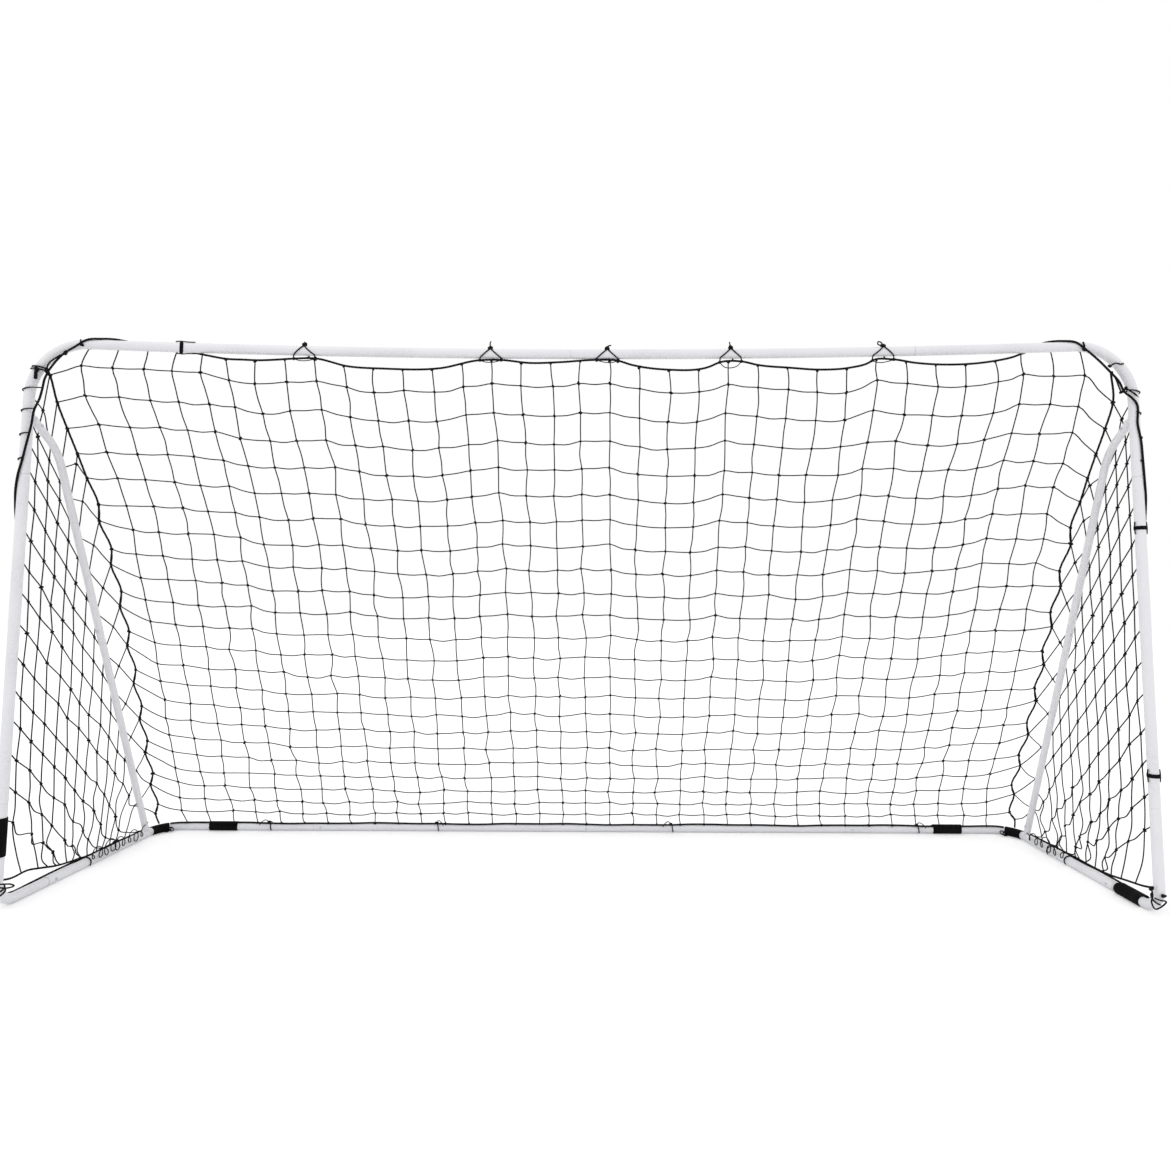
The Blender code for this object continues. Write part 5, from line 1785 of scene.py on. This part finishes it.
@dataclass
class RearRope:
    """Border rope on top of the rear bar, with the cords tied round both."""

    tie_x: tuple = (-1.351, -0.638, 0.357, 1.40)
    end_turn: float = math.radians(55.8)

    def path(self) -> Array:
        """The rope: round the left bend, along the bar and round the right bend."""
        reach = REAR_BEND + ROPE_OFFSET * math.cos(REAR_LIFT)
        height = GROUND_Z + ROPE_OFFSET * math.sin(REAR_LIFT)
        ends = []
        for side in Side:
            centre = np.array((side.value * CORNER_X, CORNER_Y, height))
            ends.append(arc(centre, X_AXIS * side.value, Y_AXIS, reach, self.end_turn, math.pi / 2, 3))
        x = np.linspace(-1.62, 1.62, 37)
        wave = np.sin(x * 9.0) + 0.6 * np.sin(x * 23.0)
        turn = np.degrees(REAR_LIFT) + 7.0 * wave
        along = np.array([rear_round(a, b, ROPE_OFFSET - FIT) for a, b in zip(x, turn)])
        return smooth([*ends[0], *along, *ends[1][::-1]], 0.005)

    def build(self, finishes: Finishes, knots: Knots) -> float:
        """Builds the rope and its ties.

        Args:
            finishes: The goal's finishes.
            knots: Adds the knots.

        Returns:
            The rope's length.
        """
        shell = Shell()
        length = add_border(shell, self.path())
        near, beside, over = TUBE_RADIUS + TIE, TUBE_RADIUS + 0.0048, ROPE_OFFSET + ROPE + TIE
        steps = ((-44, near), (-10, near), (30, near), (70, near), (98, beside), (120, over),
                 (142, beside), (165, near), (195, near), (224, near))
        for number, x in enumerate(self.tie_x):
            loop = [rear_round(x + 0.0012 * place, *step) for place, step in enumerate(steps)]
            add_cord(shell, loop)
            top = rear_round(x, 122, over)
            knots.add(shell, top, 0.0058, 1.3)
            lean = 1.0 if number % 2 else -1.0
            tail = [top, top + (0.010 * lean, -0.006, 0.010), top + (0.024 * lean, -0.012, 0.004),
                    top + (0.034 * lean, -0.015, -0.010)]
            add_cord(shell, tail, 0.004, TIE * 0.8, 6, 0.0)
        put_cords("rear_border", shell, finishes.rope, Slot.ROPE, "rear_rope")
        return length


@dataclass
class CrossbarTies:
    """Cord ties on the crossbar: two legs rise from the rope to a knot on the bar's top."""

    places: tuple = (-0.909, -0.295, 0.089, 0.495, 0.996)
    spread: float = 0.033
    seat: float = 0.033 * 1.08
    slack_tie: int = 4
    foot: float = 238.0
    peak: float = 109.0

    def leg(self, x: float, hand: int) -> list[Array]:
        """One leg from the knot down the bar's front.

        At angle a it stands aside by w (1 - cos (a - p)) / (1 - cos (f - p)), for the peak p and
        the foot f, so that it looks straight from the field.

        Args:
            x: Place of the tie along the bar.
            hand: -1 for the left leg and 1 for the right one.

        Returns:
            The leg's points, from the top.
        """
        turns = np.linspace(self.peak, self.foot, 7)
        drop = 1.0 - np.cos(np.radians(turns - self.peak))
        aside = x + hand * self.spread * drop / drop[-1]
        return [bar_round(a, turn, TUBE_RADIUS + TIE) for a, turn in zip(aside, turns)]

    def build(self, rope: TopRope, finishes: Finishes, knots: Knots) -> None:
        """Builds each tie with its knot and its tail.

        Args:
            rope: The top rope.
            finishes: The goal's finishes.
            knots: Adds the knots.
        """
        tails = (
            ((0.0, 0.0, 0.004), (-0.002, 0.002, 0.008)),
            ((-0.002, -0.002, 0.008), (0.0, 0.0, 0.019)),
            ((0.006, -0.002, 0.006), (0.013, -0.003, 0.006)),
            ((-0.002, -0.001, 0.008), (-0.003, 0.0, 0.017)),
            ((-0.006, -0.002, 0.008), (-0.016, -0.002, 0.010), (-0.016, -0.002, 0.001),
             (-0.004, -0.003, -0.002)),
        )
        for number, (x, steps) in enumerate(zip(self.places, tails), start=1):
            shell = Shell()
            left, right = self.leg(x, -1), self.leg(x, 1)
            seat = rope.at(np.array((x - self.seat, x + self.seat)))
            add_cord(shell, [seat[0], *left[::-1], *right[1:], seat[1]], 0.003)
            back = [bar_round(x + 0.002 * place, turn, TUBE_RADIUS + TIE) for place, turn in
                    enumerate((109, 80, 45, 10, -30, -68))]
            add_cord(shell, [*back, rope.at(np.array((x,)))[0]])
            top = bar_round(x, self.peak - 4.0, TUBE_RADIUS + 0.0055)
            lumps = np.array((top, top + (0.003, -0.002, -0.004), top + (-0.003, -0.001, -0.003)))
            knots.add(shell, lumps, 0.0064, 1.2)
            knots.add(shell, seat, 0.0062, 1.25)
            sag = 0.016 if number == self.slack_tie else 0.006
            hang = np.array(((0.014, -0.003, -sag), (-0.014, -0.003, -sag)))
            slack = [seat[0], *(seat + hang), seat[1]]
            add_cord(shell, slack, 0.004, TIE * 0.7, 6, 0.0)
            tail = [top, *(top + np.array(step) for step in steps)]
            add_cord(shell, tail, 0.003, lay=0.0)
            node = f"tie_crossbar_{number}"
            put_cords(f"crossbar_cord_{number}", shell, finishes.rope, Slot.ROPE, node)


@dataclass
class Bands:
    """Wide hook-and-loop wraps and narrow straps round tube and rope."""

    thickness: float = 0.0018
    wrap_length: float = 0.12
    strap_width: float = 0.012
    strap_skew: float = 0.55
    strap_growth: float = 0.0006
    strap_x: float = -1.32
    bridge: float = 34.0
    ground_slit: float = 35.0
    step: float = 6.0

    def outline(self, first: float, last: float, rope_turn: Optional[float], growth: float) -> Array:
        """Round a tube and the rope on it, as (across, up) pairs: whichever reaches further.

        Args:
            first: First angle, in degrees.
            last: Last angle.
            rope_turn: Angle of the rope, in radians, or None.
            growth: How far outside the tube it runs.

        Returns:
            The pairs.
        """
        angle = np.radians(np.linspace(first, last, max(2, math.ceil((last - first) / self.step)) + 1))
        reach = np.full_like(angle, TUBE_RADIUS + growth)
        if rope_turn is not None:
            apart = np.arctan2(np.sin(angle - rope_turn), np.cos(angle - rope_turn))
            gap = (ROPE + growth) ** 2 - (ROPE_OFFSET * np.sin(apart)) ** 2
            hug = ROPE_OFFSET * np.cos(apart) + np.sqrt(np.clip(gap, 0.0, None))
            near = math.radians(self.bridge)
            lean = np.clip(1.0 - np.abs(apart) / near, 0.0, 1.0) ** 0.7
            over = TUBE_RADIUS + growth + (2 * ROPE + FIT) * lean
            reach = np.where(np.abs(apart) < near, np.maximum(np.where(gap > 0, hug, 0), over), reach)
        return np.stack((reach * np.cos(angle), reach * np.sin(angle)), -1)

    def add(self, shell: Shell, stations: Sequence[tuple], first: float, last: float,
            rope_turn: Optional[float], growth: float) -> None:
        """Adds a band as a thick strip, with thin rims at both edges.

        Args:
            shell: Where it goes.
            stations: Origin, across and up of each cross-section, along the tube.
            first: First angle, in degrees.
            last: Last angle.
            rope_turn: Angle of the rope, in radians, or None.
            growth: Distance between the tube and the band.
        """
        thin = self.thickness * 0.55
        base = shell.size
        rings, walked = [], []
        for place, (origin, across, up) in enumerate(stations):
            edge = place in (0, len(stations) - 1)
            thick = thin if edge else self.thickness
            outer = self.outline(first, last, rope_turn, growth + thick)
            inner = self.outline(first, last, rope_turn, growth)
            loop = np.vstack((outer, inner[::-1]))
            rings.append(origin + loop[:, :1] * across + loop[:, 1:] * up)
            walked.append(float(np.linalg.norm(origin - stations[0][0])))
        rings = np.stack(rings)
        rows, count, _ = rings.shape
        shell.sweep(rings, np.array(walked), caps=False, wide=0.24)
        k = np.arange(count // 2 - 1)
        start = np.stack((k + 1, k, count - 1 - k, count - 2 - k), -1) + base
        end = start[:, ::-1] + (rows - 1) * count
        flat = np.tile(np.array((0.0, 0.0, 0.002, 0.0, 0.002, 0.002, 0.0, 0.002)), (2 * len(k), 1))
        shell.store(np.empty((0, 3)), np.vstack((start, end)), flat)

    def straight(self, middle: Array, along: Array, across: Array, up: Array,
                 width: float) -> list[tuple]:
        """Cross-sections of a band round a straight stretch of tube.

        Args:
            middle: The band's middle on the tube's centre line.
            along: Direction of the tube.
            across: First direction of the cross-section.
            up: Second direction.
            width: Width of the band along the tube.

        Returns:
            The stations.
        """
        rim = min(0.0012, width / 8)
        inner = np.linspace(rim - width / 2, width / 2 - rim, max(2, round(width / 0.02)))
        places = np.concatenate(([-width / 2], inner, [width / 2]))
        return [(middle + along * place, across, up) for place in places]

    def make(self, name: str, node: str, parts: Sequence[tuple], finishes: Finishes) -> None:
        """Builds one band from strips, turned right side out.

        Args:
            name: Name of the piece.
            node: The node that it stands for.
            parts: Stations, first and last angle, rope angle and growth of each strip.
            finishes: The goal's finishes.
        """
        shell = Shell()
        for stations, first, last, rope_turn, growth in parts:
            self.add(shell, stations, first, last, rope_turn, growth)
        mesh = shell.mesh(name, 40.0)
        built = bmesh.new()
        built.from_mesh(mesh)
        bmesh.ops.recalc_face_normals(built, faces=built.faces)
        built.to_mesh(mesh)
        built.free()
        put(name, mesh, finishes.fabric, [node])

    def build(self, finishes: Finishes) -> None:
        """Builds every wrap and strap.

        Args:
            finishes: The goal's finishes.
        """
        low, high = self.ground_slit - 90.0, 270.0 - self.ground_slit
        close, lap = self.strap_growth, self.thickness + 0.0008
        left, right = Side.LEFT, Side.RIGHT

        def wrap(name: str, stations: list, first: float, last: float, rope: Optional[float],
                 flap: Pair) -> None:
            """One wide wrap with the flap that closes it."""
            strips = ((stations, first, last, rope, close), (stations[1:-1], *flap, rope, lap))
            self.make(f"{name}_fabric", name, strips, finishes)

        post = self.straight(post_round(left, 0.225), Z_AXIS, -X_AXIS, Y_AXIS, self.wrap_length)
        wrap("wrap_post_left", post, -178.0, 178.0, SIDE_LIFT, (-150.0, -60.0))
        middle = side_round(right, FRONT_Y + 0.138)
        side = self.straight(middle, Y_AXIS, X_AXIS, Z_AXIS, self.wrap_length)
        wrap("wrap_side_right", side, low, high, SIDE_LIFT, (95.0, 190.0))
        for x, label in ((-1.544, "left"), (1.531, "right")):
            rear = self.straight(rear_round(x), X_AXIS, Y_AXIS, Z_AXIS, self.wrap_length)
            wrap(f"wrap_rear_{label}", rear, low, high, REAR_LIFT, (150.0, 222.0))
        for corner in Side:
            turn = np.radians(np.concatenate(([9.0, 9.7], np.linspace(14.0, 49.0, 8), [53.3, 54.0])))
            stations = []
            for angle in turn:
                out = X_AXIS * corner.value * math.cos(angle) + Y_AXIS * math.sin(angle)
                stations.append((corner_centre(corner) + out * REAR_BEND, out, Z_AXIS))
            wrap(f"wrap_corner_{corner.label}", stations, low, high, None, (100.0, 200.0))
        for height, label in zip(STRAP_HEIGHTS, ("upper", "lower")):
            rungs = self.straight(post_round(right, height), Z_AXIS, X_AXIS, Y_AXIS, self.strap_width)
            strips = ((rungs, -178.0, 178.0, SIDE_LIFT, close),)
            self.make(f"strap_{label}_webbing", f"strap_post_right_{label}", strips, finishes)
        slope = unit(bar_round(self.strap_x + self.strap_width) - bar_round(self.strap_x))
        across = Y_AXIS - X_AXIS * self.strap_skew
        rungs = self.straight(bar_round(self.strap_x), slope, across, Z_AXIS, self.strap_width)
        strips = ((rungs, 92.0, 448.0, math.radians(-10.0), close),)
        self.make("strap_crossbar_webbing", "strap_crossbar", strips, finishes)


@dataclass
class ShortCords:
    """Small cords with no node of their own: corner knots, tails, rings and slack loops."""

    foot_turn: Pair = (14.0, 36.0)

    def corner(self, side: Side) -> list:
        """Listed points of the cords at one top corner."""
        if side is Side.LEFT:
            cords = (
                ((-1.752, -0.012, 1.726), (-1.775, -0.020, 1.733), (-1.792, -0.019, 1.735),
                 (-1.806, -0.006, 1.737)),
                ((-1.752, -0.014, 1.720), (-1.774, -0.021, 1.724), (-1.795, -0.020, 1.727),
                 (-1.810, -0.006, 1.729)),
                ((-1.690, -0.018, 1.779), (-1.715, -0.023, 1.762), (-1.742, -0.022, 1.738),
                 (-1.750, -0.016, 1.716)),
                ((-1.778, -0.020, 1.722), (-1.779, -0.024, 1.706), (-1.778, -0.022, 1.690)),
                ((-1.638, -0.019, 1.806), (-1.643, -0.017, 1.816), (-1.648, -0.010, 1.826)),
            )
        else:
            cords = (
                ((1.729, -0.020, 1.742), (1.745, -0.024, 1.750), (1.765, -0.021, 1.748),
                 (1.778, -0.014, 1.752)),
                ((1.648, -0.020, 1.797), (1.650, -0.020, 1.810), (1.649, -0.015, 1.824)),
                ((1.738, -0.014, 1.722), (1.748, -0.018, 1.700), (1.756, -0.018, 1.676),
                 (1.762, -0.020, 1.655)),
                ((1.762, -0.020, 1.655), (1.772, -0.023, 1.655), (1.780, -0.022, 1.658)),
                ((1.776, -0.023, 1.668), (1.790, -0.023, 1.658), (1.806, -0.020, 1.650),
                 (1.824, -0.010, 1.640)),
            )
        return [from_front(cord) for cord in cords]

    def curly(self, side: Side) -> Array:
        """Slack cord that curls along a side bar's inner face and over its rope.

        With turn a = tau t, t counting the curls, it stands at y + b sin a and z + b cos a, where
        the chosen places y and sizes b are taken between one curl and the next.

        Args:
            side: Which side of the goal it is on.

        Returns:
            The cord's points.
        """
        if side is Side.LEFT:
            places = (-0.045, 0.0, 0.03, 0.072, 0.10, 0.128, 0.165, 0.212, 0.238, 0.292)
            sizes = (0.008, 0.022, 0.012, 0.027, 0.016, 0.024, 0.009, 0.025, 0.014, 0.020)
        else:
            places = (0.03, 0.062, 0.115, 0.148, 0.205, 0.236, 0.29)
            sizes = (0.009, 0.023, 0.013, 0.026, 0.011, 0.021, 0.007)
        count = np.linspace(0.0, len(places) - 1.0, 26 * len(places))
        turn = math.tau * count
        size = np.interp(count, np.arange(len(places)), sizes)
        middle = np.interp(count, np.arange(len(places)), places)
        y = middle + size * np.sin(turn)
        z = 0.033 + size * (0.30 + np.cos(turn)) + 0.003 * np.sin(2.3 * count)
        x = side.value * (SIDE_X - TUBE_RADIUS - 0.0035 - 0.004 * np.sin(turn * 0.5) ** 2)
        return np.stack((x, y, np.maximum(z, 0.004)), -1)

    def foot_coil(self, side: Side) -> Array:
        """Cord wound round a foot bend: two and a half turns on the left and one on the right."""
        turns = 2.5 if side is Side.LEFT else 1.0
        turn = np.linspace(0.0, turns * math.tau, 60)[:, None]
        place = np.radians(np.linspace(*self.foot_turn, 60))[:, None]
        out = np.cos(place) * -Y_AXIS + np.sin(place) * -Z_AXIS
        reach = TUBE_RADIUS + TIE
        around = np.cos(turn) * out + np.sin(turn) * X_AXIS * side.value
        return foot_centre(side) + out * FOOT_BEND + reach * around

    def ring(self, middle: Point, size: Pair, lean: float) -> Array:
        """A slack ring that faces the field: middle + (a cos t, l sin t, b sin t + l a cos t)."""
        turn = np.linspace(0.0, math.tau, 15)
        wide, high = size
        x, z = wide * np.cos(turn), high * np.sin(turn) + lean * wide * np.cos(turn)
        return np.asarray(middle) + np.stack((x, 0.3 * z, z), -1)

    def foot(self, side: Side) -> list:
        """Cords at one foot: the coil round its bend and one slack loop in front of it."""
        if side is Side.LEFT:
            loop = ((-1.800, -0.019, 0.087), (-1.772, -0.022, 0.090), (-1.752, -0.021, 0.089),
                    (-1.744, -0.019, 0.084), (-1.753, -0.020, 0.080), (-1.776, -0.022, 0.078),
                    (-1.800, -0.019, 0.080))
        else:
            loop = ((1.785, -0.006, 0.088), (1.784, -0.012, 0.068), (1.778, -0.014, 0.050),
                    (1.786, -0.018, 0.030), (1.800, -0.020, 0.036), (1.819, -0.020, 0.054),
                    (1.802, -0.020, 0.057), (1.788, -0.014, 0.062))
        return [self.foot_coil(side), from_front(loop)]

    def strap_cords(self) -> list:
        """Short cords that stand out at the edges of the straps."""
        found = []
        bow = ((-0.020, 0.003), (0.0, 0.0045), (0.020, 0.003))
        for height in STRAP_HEIGHTS:
            for turn in (-172, -8):
                found.append([post_round(Side.RIGHT, height + rise, turn, TUBE_RADIUS + reach)
                              for rise, reach in bow])
        bow = (0.003, 0.0045, 0.003, 0.0025, 0.0025)
        for turn in (113, 283):
            found.append([bar_round(-1.335 + 0.016 * place, turn, TUBE_RADIUS + reach)
                          for place, reach in enumerate(bow)])
        return found

    def build(self, finishes: Finishes, knots: Knots) -> None:
        """Builds the cords, those of one place as one piece.

        Args:
            finishes: The goal's finishes.
            knots: Adds the knots.
        """
        groups = {"strap_cords": (self.strap_cords(), TIE * 0.9)}
        for side in Side:
            groups[f"corner_cords_{side.label}"] = (self.corner(side), TIE * 1.15)
            groups[f"foot_cords_{side.label}"] = (self.foot(side), TIE * 1.1)
            groups[f"ground_curls_{side.label}"] = ([self.curly(side)], TIE * 0.8)
            wide = self.ring((side.value * 1.765, 0.399, 0.0125), (0.014, 0.0085), 0.2)
            small = self.ring((side.value * 1.7515, 0.403, 0.0135), (0.010, 0.007), -0.3)
            groups[f"corner_rings_{side.label}"] = ([wide, small], TIE)
        for name, (cords, radius) in groups.items():
            shell = Shell()
            for cord in cords:
                add_cord(shell, cord, 0.005, radius, lay=0.05)
                if name.startswith(("corner_cords", "foot")):
                    knots.add(shell, np.array(cord[0]), 0.0064, 1.25)
            if name == "corner_cords_left":
                toggle = from_front(((-1.780, -0.022, 1.729), (-1.779, -0.024, 1.690)))
                add_cord(shell, toggle, 0.005, 0.0052, 8, 0.08)
            put_cords(name, shell, finishes.rope, Slot.ROPE)


# ---- Stage


@dataclass
class Studio:
    """Pale floor, soft light and the camera at the photograph's viewing angle."""

    eye: tuple = (0.1127, -2.9018, 0.9476)
    pitch: float = 0.0815
    yaw: float = -0.0035
    roll: float = 0.0035
    lens: float = 23.495
    shift: tuple = (-0.0223, -0.0331)
    floor_size: float = 60.0
    floor_colour: tuple = (0.86, 0.86, 0.86, 1.0)
    floor_glow: float = 0.24
    sky: float = 0.98
    sun: float = 0.30

    def background(self, nodes: Nodes) -> Socket:
        """One where a ray comes from the camera, a glossy surface or glass, else nought."""
        path = nodes.add("ShaderNodeLightPath")
        seen = nodes.maths("MAXIMUM", path.outputs["Is Camera Ray"], path.outputs["Is Glossy Ray"])
        return nodes.maths("MAXIMUM", seen, path.outputs["Is Transmission Ray"])

    def world(self) -> None:
        """White where it is seen, soft grey light elsewhere."""
        made = bpy.data.worlds.new("white_room")
        bpy.context.scene.world = made
        made.use_nodes = True
        nodes = Nodes(made.node_tree)
        strength = nodes.ramp(self.background(nodes), 0.0, 1.0, (self.sky, 1.0))
        nodes.feed(made.node_tree.nodes["Background"], {"Color": WHITE, "Strength": strength})

    def floor(self) -> None:
        """A wide pale floor that shows white and keeps the goal's shadow."""
        half = self.floor_size / 2
        mesh = bpy.data.meshes.new("floor")
        corners = [(-half, -half, 0), (half, -half, 0), (half, half, 0), (-half, half, 0)]
        mesh.from_pydata(corners, [], [(0, 1, 2, 3)])
        made = bpy.data.materials.new("pale_floor")
        made.use_nodes = True
        nodes = Nodes(made.node_tree)
        strength = nodes.maths("MULTIPLY", self.background(nodes), self.floor_glow)
        nodes.feed(made.node_tree.nodes["Principled BSDF"], {
            "Base Color": self.floor_colour, "Roughness": 0.9, "Specular IOR Level": 0.0,
            "Emission Color": WHITE, "Emission Strength": strength})
        mesh.materials.append(made)
        new_object("floor", mesh)

    def lamps(self) -> None:
        """One soft sun from above the field."""
        lamp = bpy.data.lights.new("soft_sun", "SUN")
        lamp.energy = self.sun
        lamp.angle = math.radians(40.0)
        turn = (math.radians(28.0), math.radians(-14.0), 0.0)
        new_object("soft_sun", lamp).rotation_euler = turn

    def camera(self) -> None:
        """The camera: its axes follow from heading, tilt and roll."""
        flat = math.cos(self.pitch)
        ahead = np.array((math.sin(self.yaw) * flat, math.cos(self.yaw) * flat, math.sin(self.pitch)))
        level = np.array((math.cos(self.yaw), -math.sin(self.yaw), 0.0))
        over = np.cross(level, ahead)
        right = math.cos(self.roll) * level + math.sin(self.roll) * over
        up = math.cos(self.roll) * over - math.sin(self.roll) * level
        data = bpy.data.cameras.new("camera")
        data.sensor_width = 36.0
        data.lens = self.lens
        data.shift_x, data.shift_y = self.shift
        data.dof.use_dof = False
        item = new_object("camera", data)
        turn = Matrix(np.column_stack((right, up, -ahead)).tolist()).to_4x4()
        item.matrix_world = Matrix.Translation(self.eye) @ turn
        bpy.context.scene.camera = item

    def build(self) -> None:
        """Builds the stage."""
        bpy.context.scene.view_settings.view_transform = "Standard"
        self.world()
        self.floor()
        self.lamps()
        self.camera()


def main() -> None:
    """Builds the goal piece by piece, then the stage."""
    logging.basicConfig(level=logging.INFO, format="%(name)s %(message)s")
    finishes = Painter().build()
    knots = Knots(np.random.default_rng(SEED + 7))
    joints = all_joints()
    buttons = Buttons()
    TubeFrame().build(joints, buttons, finishes)
    buttons.build(joints, finishes)
    rope = TopRope()
    shell = Shell()
    LOG.info("top rope: %.3f m", add_border(shell, rope.path()))
    put_cords("top_border", shell, finishes.rope, Slot.ROPE, "top_rope")
    seams = {side: Seam(side) for side in Side}
    for side, seam in seams.items():
        LOG.info("seam rope %s: %.3f m", side.label, seam.build(finishes, knots))
        LOG.info("side rope %s: %.3f m", side.label, SideRope(side).build(finishes, knots))
        SideNet(side).build(seam, finishes, knots)
    LOG.info("rear rope: %.3f m", RearRope().build(finishes, knots))
    BackNet().build(rope, seams, finishes, knots)
    CrossbarTies().build(rope, finishes, knots)
    Bands().build(finishes)
    ShortCords().build(finishes, knots)
    Studio().build()


if __name__ == "__main__":
    main()
